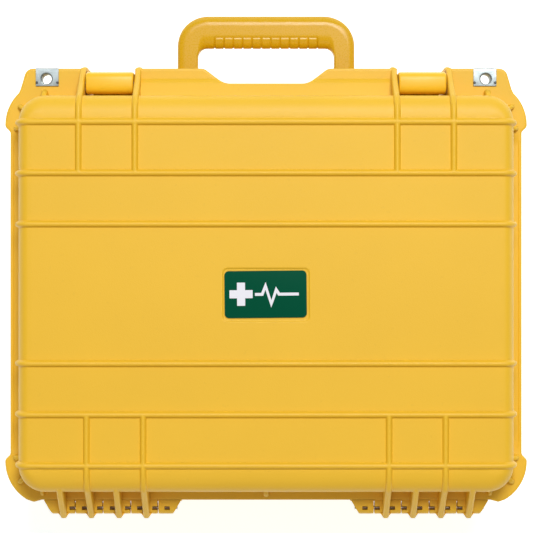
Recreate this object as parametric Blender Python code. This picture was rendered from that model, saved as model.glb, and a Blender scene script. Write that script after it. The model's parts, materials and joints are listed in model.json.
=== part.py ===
"""A public-access defibrillator packed in its waterproof hard carrying box.

The box lies on its back with the latches and the handle towards -Y and the hinges towards +Y.
Lengths are in millimetres in this script and become metres when a mesh is made.
"""

import math

import bmesh
import bpy

MM = 0.001
GAP = 0.3

# Heights above the surface that the box lies on
BASE_PANEL_Z = 3.0
PARTING_Z = 134.0
FLANGE_THICK = 7.0
LID_FACE_Z = 183.0
RIB_HEIGHT = 3.0
LID_FLANGE_Z0 = PARTING_Z + GAP / 2
LID_FLANGE_Z1 = LID_FLANGE_Z0 + FLANGE_THICK
BASE_FLANGE_Z1 = PARTING_Z - GAP / 2
BASE_FLANGE_Z0 = BASE_FLANGE_Z1 - FLANGE_THICK

# Moulded body in plan, measured about its own centre
BODY_X = 221.5
BODY_Y = 177.5
BODY_R = 24.0
WALL = 4.0
RIM_WALL = 8.5
DRAFT_LID = 1.5
DRAFT_BASE = 3.0
ROUND_X = 10.0
ROUND_Y = 20.0
ROUND_Z = 14.0
BASE_ROUND = 14.0

# Ribs
RIB_WIDTH = 5.7
RIB_TOP = 3.2
RIB_ROWS = (62.0, 107.4, 152.8)
FRONT_RIBS = (116.55, 166.75)
BACK_RIBS = (109.2, 159.5)
SHORT_BACK_RIBS = (134.1, 184.7)
RIB_ANGLES = (4, 20, 37, 54, 71, 86)
RIB_SINK = 0.4

# Flange outline
FLANGE_X = 233.0
FLANGE_FRONT = 205.4
FLANGE_BACK = 189.5
BUMPER_R = 40.5
BUMPER_STEP = 4.5
NOTCH_DEPTH = 14.8
NOTCH_TOP = 56.8
NOTCH_BOTTOM = 38.0
TAB_X = 219.0
TAB_INNER_X = 223.6
TAB_BACK = 186.5

# Hinge
HINGE_Y = 196.2
HINGE_Z = PARTING_Z
KNUCKLE_R = 5.6
HINGE_PIN_R = 1.6
HINGE_BORE_R = 1.9
HINGE_INNER_X = 80.0
HINGE_OUTER_X = 200.0
LID_KNUCKLE_WIDTH = 13.0
KNUCKLE_GAP = 0.4

# Latches
LATCH_X = sum(FRONT_RIBS) / 2
LATCH_HALF = 21.5
LATCH_Y = -190.5
LATCH_Z = 146.0
BARREL_R = 9.8
LATCH_PIN_R = 2.0
LATCH_BORE_R = 2.3
LEVER_Y = -196.5
LEVER_Z = 103.0
LEVER_BOTTOM_Z = 72.0
LINK_ARM = 6.0
LINK_THICK = 5.0

# Handle
HANDLE_Y = -190.0
HANDLE_Z = 112.0
HANDLE_OUTER_X = 81.9
HANDLE_INNER_X = 63.4
HANDLE_GRIP_OUTER = 257.2
HANDLE_GRIP_INNER = 228.1
HANDLE_THICK = 16.0
HANDLE_PIN_R = 2.5
HANDLE_BORE_R = 2.8
LUG_THICK = 5.6

# Padlock eyes
EYE_X = 200.0
EYE_Y = -195.2
EYE_R = 4.6
EYE_TUBE_R = 5.6
EYE_PLATE_HALF = 10.8
EYE_PLATE_BACK = -188.5
EYE_SHEET = 1.0

# Seal
SEAL_MID = -4.25
SEAL_HALF = 2.3
SEAL_TOP = 4.4

# Vent
VALVE_X = -100.5
VALVE_Z = 72.0
VALVE_R = 9.0
VALVE_STEM_R = 5.0

# Label
LABEL_HALF_X = 36.3
LABEL_HALF_Y = 21.3
LABEL_RECESS = 1.0
LABEL_MARGIN = 2.2

# Foam
FOAM_INSET = 9.3
FOAM_TOP_Z = 128.0
FOAM_FLOOR_Z = 35.0
POCKET_FLOOR_Z = 60.0
POCKET = (66.0, 198.0, -140.0, 140.0)
LID_FOAM_Z = 146.0
FOAM_CLEAR = 0.6
FOAM_TAPER = 0.955

# Defibrillator unit
UNIT_X = -72.0
UNIT_Y = 22.0
UNIT_HALF = 104.0
UNIT_R = 20.0
UNIT_Z0 = 36.0
UNIT_SEAM_Z = 78.0
UNIT_Z1 = 120.0
UNIT_WALL = 3.0
UNIT_CLEAR = 1.0
UNIT_HANDLE_OUT = 46.0
UNIT_HANDLE_HALF = 72.0
BUMPER_Z0 = 68.0
BUMPER_Z1 = 88.0
BUMPER_OUT = 3.0
CARTRIDGE_HALF_X = 74.0
CARTRIDGE_Y = (-88.0, 22.0)
CARTRIDGE_WELL_Z = 106.0
CARTRIDGE_TOP_Z = 123.5
SHOCK = (64.0, 62.0, 17.0)
POWER = (-72.0, 62.0, 17.0, 13.0)
STATUS = (-22.0, 84.0, 6.5)
SPEAKER = (0.0, 52.0, 17.0)
BUTTON_TOP_Z = 123.0
BATTERY_HALF_X = 48.0
BATTERY_DEPTH = 66.0

# The origin is the middle of the whole object's box, so the body's centre lies behind it
HINGE_RIB_OUT = 206.0
FRAME_SHIFT_Y = (HANDLE_GRIP_OUTER - HINGE_RIB_OUT) / 2


def clear_scene():
    for item in list(bpy.data.objects):
        bpy.data.objects.remove(item)


def material(name, colour, roughness, metallic=0.0):
    made = bpy.data.materials.get(name) or bpy.data.materials.new(name)
    made.use_nodes = True
    shader = made.node_tree.nodes["Principled BSDF"]
    shader.inputs["Base Color"].default_value = (*colour, 1.0)
    shader.inputs["Roughness"].default_value = roughness
    shader.inputs["Metallic"].default_value = metallic
    return made


FINISHES = {
    "yellow_shell": ((0.87, 0.55, 0.045), 0.45, 0.0),
    "yellow_gloss": ((0.84, 0.50, 0.03), 0.3, 0.0),
    "steel": ((0.72, 0.74, 0.76), 0.3, 1.0),
    "rubber_black": ((0.03, 0.03, 0.032), 0.8, 0.0),
    "foam_grey": ((0.09, 0.09, 0.095), 0.95, 0.0),
    "label_green": ((0.0, 0.17, 0.09), 0.35, 0.0),
    "unit_light": ((0.72, 0.74, 0.75), 0.4, 0.0),
    "unit_dark": ((0.08, 0.09, 0.1), 0.5, 0.0),
    "shock_orange": ((0.85, 0.22, 0.02), 0.35, 0.0),
    "power_green": ((0.03, 0.42, 0.12), 0.35, 0.0),
    "window_clear": ((0.35, 0.5, 0.45), 0.1, 0.0),
    "foil_pouch": ((0.78, 0.79, 0.8), 0.3, 0.0),
    "board_green": ((0.02, 0.2, 0.08), 0.5, 0.0),
    "gel_pad": ((0.8, 0.82, 0.84), 0.5, 0.0),
    "valve_black": ((0.05, 0.05, 0.055), 0.5, 0.0),
}


def new_object(name, points, faces, finish=None, origin=(0.0, 0.0, 0.0)):
    """An object whose mesh is measured from origin, so that origin can lie on a joint's axis."""
    mesh = bpy.data.meshes.new(name)
    local = [tuple((c - o) * MM for c, o in zip(point, origin)) for point in points]
    mesh.from_pydata(local, [], faces)
    work = bmesh.new()
    work.from_mesh(mesh)
    bmesh.ops.recalc_face_normals(work, faces=work.faces)
    work.to_mesh(mesh)
    work.free()
    made = bpy.data.objects.new(name, mesh)
    bpy.context.scene.collection.objects.link(made)
    made.parent = FRAME
    made.location = tuple(o * MM for o in origin)
    if finish:
        mesh.materials.append(material(finish, *FINISHES[finish]))
        mesh.shade_smooth()
        mesh.set_sharp_from_angle(angle=math.radians(35))
    return made


def loft_data(rings):
    """Points and faces of a closed solid through rings of equal length, with its two ends filled."""
    count = len(rings[0])
    points = [point for ring in rings for point in ring]
    faces = []
    for level in range(len(rings) - 1):
        a, b = level * count, (level + 1) * count
        faces += [(a + i, a + (i + 1) % count, b + (i + 1) % count, b + i) for i in range(count)]
    faces.append(tuple(range(count)))
    faces.append(tuple(range((len(rings) - 1) * count, len(rings) * count)))
    return points, faces


def loft(name, rings, finish=None, origin=(0.0, 0.0, 0.0)):
    points, faces = loft_data(rings)
    return new_object(name, points, faces, finish, origin)


def closed_ring(name, rings, finish=None):
    """A ring-shaped solid: the last ring joins the first, so there are no end caps."""
    count = len(rings[0])
    points = [point for ring in rings for point in ring]
    faces = []
    for level in range(len(rings)):
        a, b = level * count, (level + 1) % len(rings) * count
        faces += [(a + i, a + (i + 1) % count, b + (i + 1) % count, b + i) for i in range(count)]
    return new_object(name, points, faces, finish)


def rounded(half_x, half_y, radius, centre=(0.0, 0.0), steps=5):
    """Plan outline of a rectangle with round corners, anticlockwise."""
    points = []
    for corner, (sx, sy) in enumerate(((1, 1), (-1, 1), (-1, -1), (1, -1))):
        for step in range(steps + 1):
            angle = math.radians(90 * corner + 90 * step / steps)
            x = centre[0] + sx * (half_x - radius) + radius * math.cos(angle)
            y = centre[1] + sy * (half_y - radius) + radius * math.sin(angle)
            points.append((x, y))
    return points


def at_height(outline, z):
    return [(x, y, z) for x, y in outline]


def body_ring(offset, z, steps=5):
    """The body's outline moved outwards by offset, at height z."""
    return at_height(rounded(BODY_X + offset, BODY_Y + offset, BODY_R + offset, steps=steps), z)


def prism(name, outline, axis, low, high, finish=None, origin=(0.0, 0.0, 0.0)):
    """An outline pushed along an axis. The outline's pairs are the other two axes, in X, Y, Z order."""
    place = {
        "X": lambda a, b, along: (along, a, b),
        "Y": lambda a, b, along: (a, along, b),
        "Z": lambda a, b, along: (a, b, along),
    }[axis]
    rings = [[place(a, b, along) for a, b in outline] for along in (low, high)]
    return loft(name, rings, finish, origin)


def block(name, low, high, finish=None, origin=(0.0, 0.0, 0.0)):
    outline = [(low[0], low[1]), (high[0], low[1]), (high[0], high[1]), (low[0], high[1])]
    return prism(name, outline, "Z", low[2], high[2], finish, origin)


def circle(centre, radius, steps):
    turn = 2 * math.pi / steps
    angles = [turn * (i + 0.5) for i in range(steps)]
    return [(centre[0] + radius * math.cos(a), centre[1] + radius * math.sin(a)) for a in angles]


def rod(name, axis, centre, radius, low, high, steps=12, finish=None, origin=(0.0, 0.0, 0.0)):
    """A round bar along an axis. Centre is its place on the other two axes."""
    return prism(name, circle(centre, radius, steps), axis, low, high, finish, origin)


def combine(target, others, operation):
    """Joins or cuts with the Boolean modifier, one collection of helpers at a time."""
    if not others:
        return
    group = bpy.data.collections.new(f"{target.name}_{operation.lower()}")
    bpy.context.scene.collection.children.link(group)
    for other in others:
        bpy.context.scene.collection.objects.unlink(other)
        group.objects.link(other)
        other.hide_render = True
        other.display_type = "WIRE"
    modifier = target.modifiers.new(operation.lower(), "BOOLEAN")
    modifier.operation = operation
    modifier.operand_type = "COLLECTION"
    modifier.collection = group
    modifier.solver = "EXACT"


def fuse(target, others):
    combine(target, others, "UNION")


def cut(target, others):
    combine(target, others, "DIFFERENCE")


def both_sides(make):
    """Runs make(side) for +X and -X and returns what it made."""
    return [make(1), make(-1)]


def span(side, low, high):
    """A stretch of X on one side of the middle, low value first."""
    ends = sorted((side * low, side * high))
    return ends[0], ends[1]


# ---------------------------------------------------------------- moulded halves


def lid_rings():
    """Outer levels of the lid: drafted wall, then an elliptical round-over to the flat face."""
    rings = [body_ring(0.0, LID_FLANGE_Z0)]
    wall_top = LID_FACE_Z - ROUND_Z
    for step in range(5):
        angle = math.radians(90 * step / 4)
        inward = 1 - math.cos(angle)
        half_x = BODY_X - DRAFT_LID - ROUND_X * inward
        half_y = BODY_Y - DRAFT_LID - ROUND_Y * inward
        radius = BODY_R - DRAFT_LID - ROUND_Z * inward
        rings.append(at_height(rounded(half_x, half_y, radius), wall_top + ROUND_Z * math.sin(angle)))
    return rings


def base_rings():
    rings = [body_ring(0.0, BASE_FLANGE_Z1)]
    wall_end = BASE_PANEL_Z + BASE_ROUND
    for step in range(4):
        angle = math.radians(90 * step / 3)
        offset = -DRAFT_BASE - BASE_ROUND * (1 - math.cos(angle))
        rings.append(body_ring(offset, wall_end - BASE_ROUND * math.sin(angle)))
    return rings


def rib_bar(name, axis, middle, sections):
    """A rib with sloping flanks: the wide outline at its two edges and the proud outline in between."""
    flush, proud = sections
    foot, crown = RIB_WIDTH / 2, RIB_TOP / 2
    stops = ((-foot, flush), (-crown, proud), (crown, proud), (foot, flush))
    place = (lambda a, b, along: (a, along, b)) if axis == "Y" else (lambda a, b, along: (along, a, b))
    rings = [[place(a, b, middle + along) for a, b in outline] for along, outline in stops]
    return loft(name, rings)


def wall_outline(out, half_wall, round_in, wall_end_z, face_z, sign):
    """Outline points of a rib: over the round edge and onto the face, which the last point meets.

    The angles differ from the ones of the moulded halves, so that no two edges coincide.
    """
    points = []
    for degrees in RIB_ANGLES:
        angle = math.radians(degrees)
        reach = half_wall + out * math.cos(angle) - round_in * (1 - math.cos(angle))
        rise = math.sin(angle) / math.sin(math.radians(RIB_ANGLES[-1]))
        points.append((reach, wall_end_z + (face_z - wall_end_z + sign * out) * rise))
    return points


def edge_of(lid, half, round_in, out):
    """A rib's outline round one edge of the lid or the base, from the wall to the face."""
    if lid:
        return wall_outline(out, half - DRAFT_LID, round_in, LID_FACE_Z - ROUND_Z, LID_FACE_Z, 1)
    end_z = BASE_PANEL_Z + BASE_ROUND
    return wall_outline(out, half - DRAFT_BASE, BASE_ROUND, end_z, BASE_PANEL_Z, -1)


def rib_foot(lid):
    return LID_FLANGE_Z0 + 2 if lid else BASE_FLANGE_Z1 - 2


def rib_row(name, y, lid):
    """A rib that runs across the face and down both side walls."""
    sections = []
    for out in (-RIB_SINK, RIB_HEIGHT):
        right = [(BODY_X + out, rib_foot(lid)), *edge_of(lid, BODY_X, ROUND_X, out)]
        sections.append(right + [(-a, b) for a, b in reversed(right)])
    return rib_bar(name, "Y", y, sections)


def rib_over_edge(name, x, front, lid):
    """A rib from the second row over the front or back edge and down the wall to the flange."""
    sign = -1 if front else 1
    inside = LID_FACE_Z - 8 if lid else BASE_PANEL_Z + 8
    sections = []
    for out in (-RIB_SINK, RIB_HEIGHT):
        edge = edge_of(lid, BODY_Y, ROUND_Y, out)
        outline = [(BODY_Y + out, rib_foot(lid)), *edge, (RIB_ROWS[1], edge[-1][1])]
        outline += [(RIB_ROWS[1], inside), (BODY_Y - 25, inside), (BODY_Y - 25, rib_foot(lid))]
        sections.append([(sign * a, b) for a, b in outline])
    return rib_bar(name, "X", x, sections)


def flange_outline():
    """The flange in plan: grip notch, padlock tabs, corner bumpers and straight sides."""
    centre_x, centre_y = BODY_X - BODY_R, BODY_Y - BODY_R
    half = [(NOTCH_BOTTOM, -FLANGE_FRONT + NOTCH_DEPTH), (NOTCH_TOP - 3, -FLANGE_FRONT + 1.5)]
    half += [(NOTCH_TOP, -FLANGE_FRONT), (TAB_X - 4, -FLANGE_FRONT), (TAB_X, -FLANGE_FRONT + 3)]
    half.append((TAB_INNER_X, -TAB_BACK))
    start = math.atan2(TAB_BACK - centre_y, TAB_INNER_X - centre_x)
    for step in range(1, 6):
        angle = start * (1 - step / 5)
        half.append((centre_x + BUMPER_R * math.cos(angle), -centre_y - BUMPER_R * math.sin(angle)))
    half.append((FLANGE_X, -centre_y + BUMPER_STEP))
    half.append((FLANGE_X, centre_y - BUMPER_STEP))
    for step in range(7):
        angle = math.radians(68) * step / 6
        half.append((centre_x + BUMPER_R * math.cos(angle), centre_y + BUMPER_R * math.sin(angle)))
    half.append((centre_x + 8, FLANGE_BACK))
    return half + [(-x, y) for x, y in reversed(half)]


def cavity(name, lid):
    """The hollow of one half, with a thicker rim where the seal sits."""
    if lid:
        levels = (
            (-RIM_WALL, PARTING_Z - 5), (-RIM_WALL, LID_FLANGE_Z1), (-WALL, LID_FLANGE_Z1 + 4.5),
            (-WALL - DRAFT_LID, LID_FACE_Z - 12), (-WALL - 10, LID_FACE_Z - WALL),
        )
    else:
        levels = (
            (-RIM_WALL, PARTING_Z + 5), (-RIM_WALL, BASE_FLANGE_Z0), (-WALL, BASE_FLANGE_Z0 - 4.5),
            (-WALL - DRAFT_BASE, BASE_PANEL_Z + 14), (-WALL - 10, BASE_PANEL_Z + WALL),
        )
    return loft(name, [body_ring(offset, z) for offset, z in levels])


def knuckle_spans(side):
    """X stretches of the lid's and the base's knuckles on one side."""
    lid_spans, base_spans = [], []
    edge = HINGE_OUTER_X
    for rib in sorted((*BACK_RIBS, *SHORT_BACK_RIBS), reverse=True):
        outer = rib + RIB_WIDTH / 2
        inner = outer - LID_KNUCKLE_WIDTH
        base_spans.append(span(side, edge, outer + KNUCKLE_GAP))
        lid_spans.append(span(side, outer, inner))
        edge = inner - KNUCKLE_GAP
    base_spans.append(span(side, edge, HINGE_INNER_X))
    return lid_spans, base_spans


def knuckle(name, ends, lid):
    """A barrel round the hinge pin with its web into the flange."""
    top, bottom = (5.4, -0.1) if lid else (0.1, -5.4)
    arc = [
        (HINGE_Y + KNUCKLE_R * math.cos(a), HINGE_Z + KNUCKLE_R * math.sin(a))
        for a in (math.radians(d) for d in range(-90, 91, 30))
    ]
    near = HINGE_Y - KNUCKLE_R * 0.94
    if lid:
        back = [(HINGE_Y - 8, HINGE_Z + top), (HINGE_Y - 8, HINGE_Z + 0.4), (near, HINGE_Z + 0.4)]
        back += [(HINGE_Y - KNUCKLE_R * 0.75, HINGE_Z - 3.6)]
    else:
        back = [(HINGE_Y - KNUCKLE_R * 0.75, HINGE_Z + 3.6), (near, HINGE_Z - 0.4)]
        back += [(HINGE_Y - 8, HINGE_Z - 0.4), (HINGE_Y - 8, HINGE_Z + bottom)]
    return prism(name, arc + back, "X", ends[0], ends[1])


def hinge_web(name, x):
    """The outer part of a lid rib: from the wall over the hinge to its tip."""
    outline = [(BODY_Y - 6, 138), (BODY_Y - 6, 174), (BODY_Y, 171), (186, 164), (199, 148)]
    outline += [(204.8, 141), (HINGE_RIB_OUT, 137), (204.4, 132.8)]
    outline += [(HINGE_Y + 2, 130), (HINGE_Y - 2, 138)]
    return prism(name, outline, "X", x - RIB_WIDTH / 2, x + RIB_WIDTH / 2)


def latch_ear(name, x):
    """The outer part of a front rib: it carries the latch's pin."""
    outline = [(-BODY_Y + 6, 136), (-BODY_Y + 6, 174), (-BODY_Y, 171), (-196, 164), (-204.5, 157)]
    outline += [(-207, 150), (-207, 140), (-203, LID_FLANGE_Z0 + 0.4)]
    return prism(name, outline, "X", x - RIB_WIDTH / 2, x + RIB_WIDTH / 2)


def lid_shell():
    shell = loft("lid_shell", lid_rings(), "yellow_shell")
    adds = [prism("lid_flange", flange_outline(), "Z", LID_FLANGE_Z0, LID_FLANGE_Z1)]
    cuts = [cavity("lid_cavity", True)]
    for row in RIB_ROWS:
        adds += both_sides(lambda side: rib_row("lid_row", side * row, True))
    for x in FRONT_RIBS:
        adds += both_sides(lambda side: rib_over_edge("lid_front_rib", side * x, True, True))
        adds += both_sides(lambda side: latch_ear("lid_ear", side * x))
    for x in BACK_RIBS:
        adds += both_sides(lambda side: rib_over_edge("lid_back_rib", side * x, False, True))
    for x in (*BACK_RIBS, *SHORT_BACK_RIBS):
        adds += both_sides(lambda side: hinge_web("lid_hinge_web", side * x))
    for side in (1, -1):
        adds += [knuckle("lid_knuckle", ends, True) for ends in knuckle_spans(side)[0]]
        low, high = span(side, HINGE_INNER_X - 10, HINGE_OUTER_X + 10)
        cuts.append(rod("lid_hinge_bore", "X", (HINGE_Y, HINGE_Z), HINGE_BORE_R, low, high, 8))
        low, high = span(side, FRONT_RIBS[0] + RIB_WIDTH / 2, FRONT_RIBS[1] - RIB_WIDTH / 2)
        cuts.append(block("lid_latch_pocket", (low, -230, 120), (high, -BODY_Y - 1.2, 160)))
        low, high = span(side, FRONT_RIBS[0] - 10, FRONT_RIBS[1] + 10)
        cuts.append(rod("lid_latch_bore", "X", (LATCH_Y, LATCH_Z), LATCH_BORE_R, low, high, 10))
        cuts.append(rod("lid_eye_hole", "Z", (side * EYE_X, EYE_Y), EYE_TUBE_R + GAP, 120, 150, 16))
    cuts.append(
        closed_ring(
            "lid_seal_groove",
            [
                body_ring(SEAL_MID + SEAL_HALF + GAP, PARTING_Z - 3),
                body_ring(SEAL_MID + SEAL_HALF + GAP, PARTING_Z + SEAL_TOP + GAP),
                body_ring(SEAL_MID - SEAL_HALF - GAP, PARTING_Z + SEAL_TOP + GAP),
                body_ring(SEAL_MID - SEAL_HALF - GAP, PARTING_Z - 3),
            ],
        )
    )
    recess = rounded(LABEL_HALF_X + LABEL_MARGIN, LABEL_HALF_Y + LABEL_MARGIN, 4.0, steps=3)
    cuts.append(prism("lid_label_recess", recess, "Z", LID_FACE_Z - LABEL_RECESS, LID_FACE_Z + 5))
    fuse(shell, adds)
    cut(shell, cuts)
    shell_origin(shell)


def shell_origin(shell):
    """Puts the lid's origin on the hinge line without moving its shape."""
    shift = (0.0, HINGE_Y * MM, HINGE_Z * MM)
    for vertex in shell.data.vertices:
        vertex.co = [c - s for c, s in zip(vertex.co, shift)]
    shell.location = shift


def latch_guard(name, x):
    """The base's rib beside a latch, which keeps knocks off it."""
    outline = [(-BODY_Y + 7, 130), (-204.5, 130), (-208, 125), (-208, 84), (-201, 73)]
    outline.append((-BODY_Y + 7, 62))
    return prism(name, outline, "X", x - RIB_WIDTH / 2, x + RIB_WIDTH / 2)


def handle_lug(name, ends):
    outline = [(-BODY_Y + 6, 130), (-192, 130), (-197.5, 119), (-198, 112), (-195, 106), (-189, 103.5)]
    outline.append((-BODY_Y + 6, 96))
    return prism(name, outline, "X", ends[0], ends[1])


def latch_ledge(name, side):
    """The ledge that the latch's nose closes onto."""
    low, high = span(side, LATCH_X - 19, LATCH_X + 19)
    outline = [(-BODY_Y + 7, 109), (-185, 109), (-187.3, 106.5), (-187.3, 99.5), (-185, 97)]
    outline.append((-BODY_Y + 7, 92))
    return prism(name, outline, "X", low, high)


def base_shell():
    shell = loft("base_shell", base_rings(), "yellow_shell")
    adds = [prism("base_flange", flange_outline(), "Z", BASE_FLANGE_Z0, BASE_FLANGE_Z1)]
    cuts = [cavity("base_cavity", False)]
    for row in RIB_ROWS:
        adds += both_sides(lambda side: rib_row("base_row", side * row, False))
    for x in BACK_RIBS:
        adds += both_sides(lambda side: rib_over_edge("base_back_rib", side * x, False, False))
    for x in FRONT_RIBS:
        adds += both_sides(lambda side: rib_over_edge("base_front_rib", side * x, True, False))
        adds += both_sides(lambda side: latch_guard("base_guard", side * x))
    for side in (1, -1):
        adds.append(latch_ledge("base_ledge", side))
        clear = 0.5
        inner = span(side, HANDLE_INNER_X - clear - LUG_THICK, HANDLE_INNER_X - clear)
        outer = span(side, HANDLE_OUTER_X + clear, HANDLE_OUTER_X + clear + LUG_THICK)
        adds += [handle_lug("base_lug", inner), handle_lug("base_lug", outer)]
        adds += [knuckle("base_knuckle", ends, False) for ends in knuckle_spans(side)[1]]
        low, high = span(side, HINGE_INNER_X - 10, HINGE_OUTER_X + 10)
        cuts.append(rod("base_hinge_bore", "X", (HINGE_Y, HINGE_Z), HINGE_BORE_R, low, high, 8))
        low, high = span(side, HANDLE_INNER_X - 12, HANDLE_OUTER_X + 12)
        cuts.append(rod("base_handle_bore", "X", (HANDLE_Y, HANDLE_Z), HANDLE_BORE_R, low, high, 10))
        low, high = span(side, FRONT_RIBS[0] + RIB_WIDTH / 2, FRONT_RIBS[1] - RIB_WIDTH / 2)
        cuts.append(block("base_latch_pocket", (low, -230, 118), (high, -BODY_Y - 1.2, 140)))
        cuts.append(rod("base_eye_hole", "Z", (side * EYE_X, EYE_Y), EYE_TUBE_R + GAP, 120, 150, 16))
    cuts.append(rod("base_valve_hole", "Y", (VALVE_X, VALVE_Z), VALVE_STEM_R + GAP, -200, -160, 12))
    adds.append(
        closed_ring(
            "base_seal_tongue",
            [
                body_ring(SEAL_MID + 1.0, PARTING_Z - 2),
                body_ring(SEAL_MID + 0.7, PARTING_Z + 1.4),
                body_ring(SEAL_MID - 0.7, PARTING_Z + 1.4),
                body_ring(SEAL_MID - 1.0, PARTING_Z - 2),
            ],
        )
    )
    fuse(shell, adds)
    cut(shell, cuts)


def seal():
    closed_ring(
        "lid_gasket",
        [
            body_ring(SEAL_MID + SEAL_HALF, PARTING_Z + 1.8),
            body_ring(SEAL_MID + SEAL_HALF, PARTING_Z + SEAL_TOP),
            body_ring(SEAL_MID - SEAL_HALF, PARTING_Z + SEAL_TOP),
            body_ring(SEAL_MID - SEAL_HALF, PARTING_Z + 1.8),
        ],
        "rubber_black",
    )


def label():
    outline = rounded(LABEL_HALF_X, LABEL_HALF_Y, 3.5, steps=3)
    low = LID_FACE_Z - LABEL_RECESS + GAP
    prism("label_plate", outline, "Z", low, low + 0.8, "label_green")


# ---------------------------------------------------------------- hinge pins, latches, handle


def hinge_pins():
    for side, word in ((1, "left"), (-1, "right")):
        low, high = span(side, HINGE_INNER_X + 1, HINGE_OUTER_X - 1)
        rod(f"hinge_pin_{word}", "X", (HINGE_Y, HINGE_Z), HINGE_PIN_R, low, high, 10, "steel")


def latch(side, word):
    """One double-throw latch: a link on the lid's ears and a lever on the link."""
    middle = side * LATCH_X
    pivot = (middle, LATCH_Y, LATCH_Z)
    throw = (middle, LEVER_Y, LEVER_Z)
    outer_y = LEVER_Y - 4.5
    arc = [
        (LATCH_Y + BARREL_R * math.cos(a), LATCH_Z + BARREL_R * math.sin(a))
        for a in (math.radians(d) for d in range(-90, 166, 15))
    ]
    plate = [(outer_y, LATCH_Z), (outer_y, LEVER_Z + 9), (outer_y + LINK_THICK, LEVER_Z + 9)]
    plate.append((outer_y + LINK_THICK, LATCH_Z - BARREL_R - 3))
    low, high = middle - LATCH_HALF, middle + LATCH_HALF
    link = prism(f"latch_link_{word}", arc + plate, "X", low, high, "yellow_gloss", pivot)
    arm_outline = [(outer_y, LEVER_Z + 12), (outer_y, LEVER_Z), (LEVER_Y - 3, LEVER_Z - 4)]
    arm_outline += [(LEVER_Y, LEVER_Z - 5), (LEVER_Y + 3, LEVER_Z - 4), (LEVER_Y + 4.5, LEVER_Z)]
    arm_outline.append((outer_y + LINK_THICK, LEVER_Z + 12))
    arms = [
        prism("link_arm", arm_outline, "X", low, low + LINK_ARM),
        prism("link_arm", arm_outline, "X", high - LINK_ARM, high),
    ]
    fuse(link, arms)
    bores = [
        rod("link_barrel_bore", "X", pivot[1:], LATCH_BORE_R, low - 5, high + 5, 10),
        rod("link_arm_bore", "X", throw[1:], LATCH_BORE_R, low - 5, high + 5, 10),
    ]
    cut(link, bores)

    inner_low, inner_high = low + LINK_ARM + 0.4, high - LINK_ARM - 0.4
    hub = [(outer_y, LEVER_Z - 12), (outer_y, LEVER_Z + 3), (LEVER_Y - 3, LEVER_Z + 4.5)]
    hub += [(LEVER_Y + 3, LEVER_Z + 4.5), (-188.0, LEVER_Z + 2), (-187.9, LEVER_Z - 3)]
    hub += [(LEVER_Y + 2, LEVER_Z - 6), (LEVER_Y, LEVER_Z - 12)]
    lever = prism(f"latch_lever_{word}", hub, "X", inner_low, inner_high, "yellow_gloss", throw)
    blade = [(outer_y, LEVER_Z - 6.6), (outer_y, LEVER_BOTTOM_Z + 8), (outer_y - 3, LEVER_BOTTOM_Z)]
    blade += [(outer_y + 1, LEVER_BOTTOM_Z), (outer_y + 4.5, LEVER_BOTTOM_Z + 7)]
    blade.append((outer_y + 4.5, LEVER_Z - 6.6))
    fuse(lever, [prism("lever_blade", blade, "X", low, high)])
    cut(lever, [rod("lever_bore", "X", throw[1:], LATCH_BORE_R, low - 5, high + 5, 10)])

    ear_low = side * LATCH_X - (FRONT_RIBS[1] - FRONT_RIBS[0]) / 2 - RIB_WIDTH / 2
    ear_high = 2 * middle - ear_low
    pin_low, pin_high = ear_low + 0.5, ear_high - 0.5
    rod(f"latch_pin_{word}", "X", pivot[1:], LATCH_PIN_R, pin_low, pin_high, 10, "steel", pivot)
    rod(f"lever_pin_{word}", "X", throw[1:], LATCH_PIN_R, low + 0.5, high - 0.5, 10, "steel", throw)


def handle():
    """A carrying handle whose two legs turn on pins between lugs on the base."""
    outer, inner = HANDLE_OUTER_X, HANDLE_INNER_X
    outer_r, inner_r = 26.0, 9.0
    top, under = -HANDLE_GRIP_OUTER, -HANDLE_GRIP_INNER
    half = [(inner, HANDLE_Y), (outer, HANDLE_Y)]
    for step in range(6):
        angle = math.radians(90 * step / 5)
        x = outer - outer_r + outer_r * math.cos(angle)
        half.append((x, top + outer_r - outer_r * math.sin(angle)))
    inside = []
    for step in range(4):
        angle = math.radians(90 * step / 3)
        x = inner - inner_r + inner_r * math.sin(angle)
        inside.append((x, under + inner_r - inner_r * math.cos(angle)))
    outline = half + [(-x, y) for x, y in reversed(half)]
    outline += [(-x, y) for x, y in reversed(inside)] + inside
    pivot = (0.0, HANDLE_Y, HANDLE_Z)
    low_z, high_z = HANDLE_Z - HANDLE_THICK / 2, HANDLE_Z + HANDLE_THICK / 2
    made = prism("carry_handle", outline, "Z", low_z, high_z, "yellow_gloss", pivot)
    ends, bores = [], []
    for side in (1, -1):
        low, high = span(side, inner, outer)
        ends.append(rod("handle_end", "X", pivot[1:], HANDLE_THICK / 2, low, high, 16))
        bores.append(rod("handle_bore", "X", pivot[1:], HANDLE_BORE_R, low - 5, high + 5, 10))
    fuse(made, ends)
    cut(made, bores)
    for side, word in ((1, "left"), (-1, "right")):
        low, high = span(side, inner - LUG_THICK, outer + LUG_THICK)
        rod(f"handle_pin_{word}", "X", pivot[1:], HANDLE_PIN_R, low, high, 10, "steel", pivot)


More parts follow.
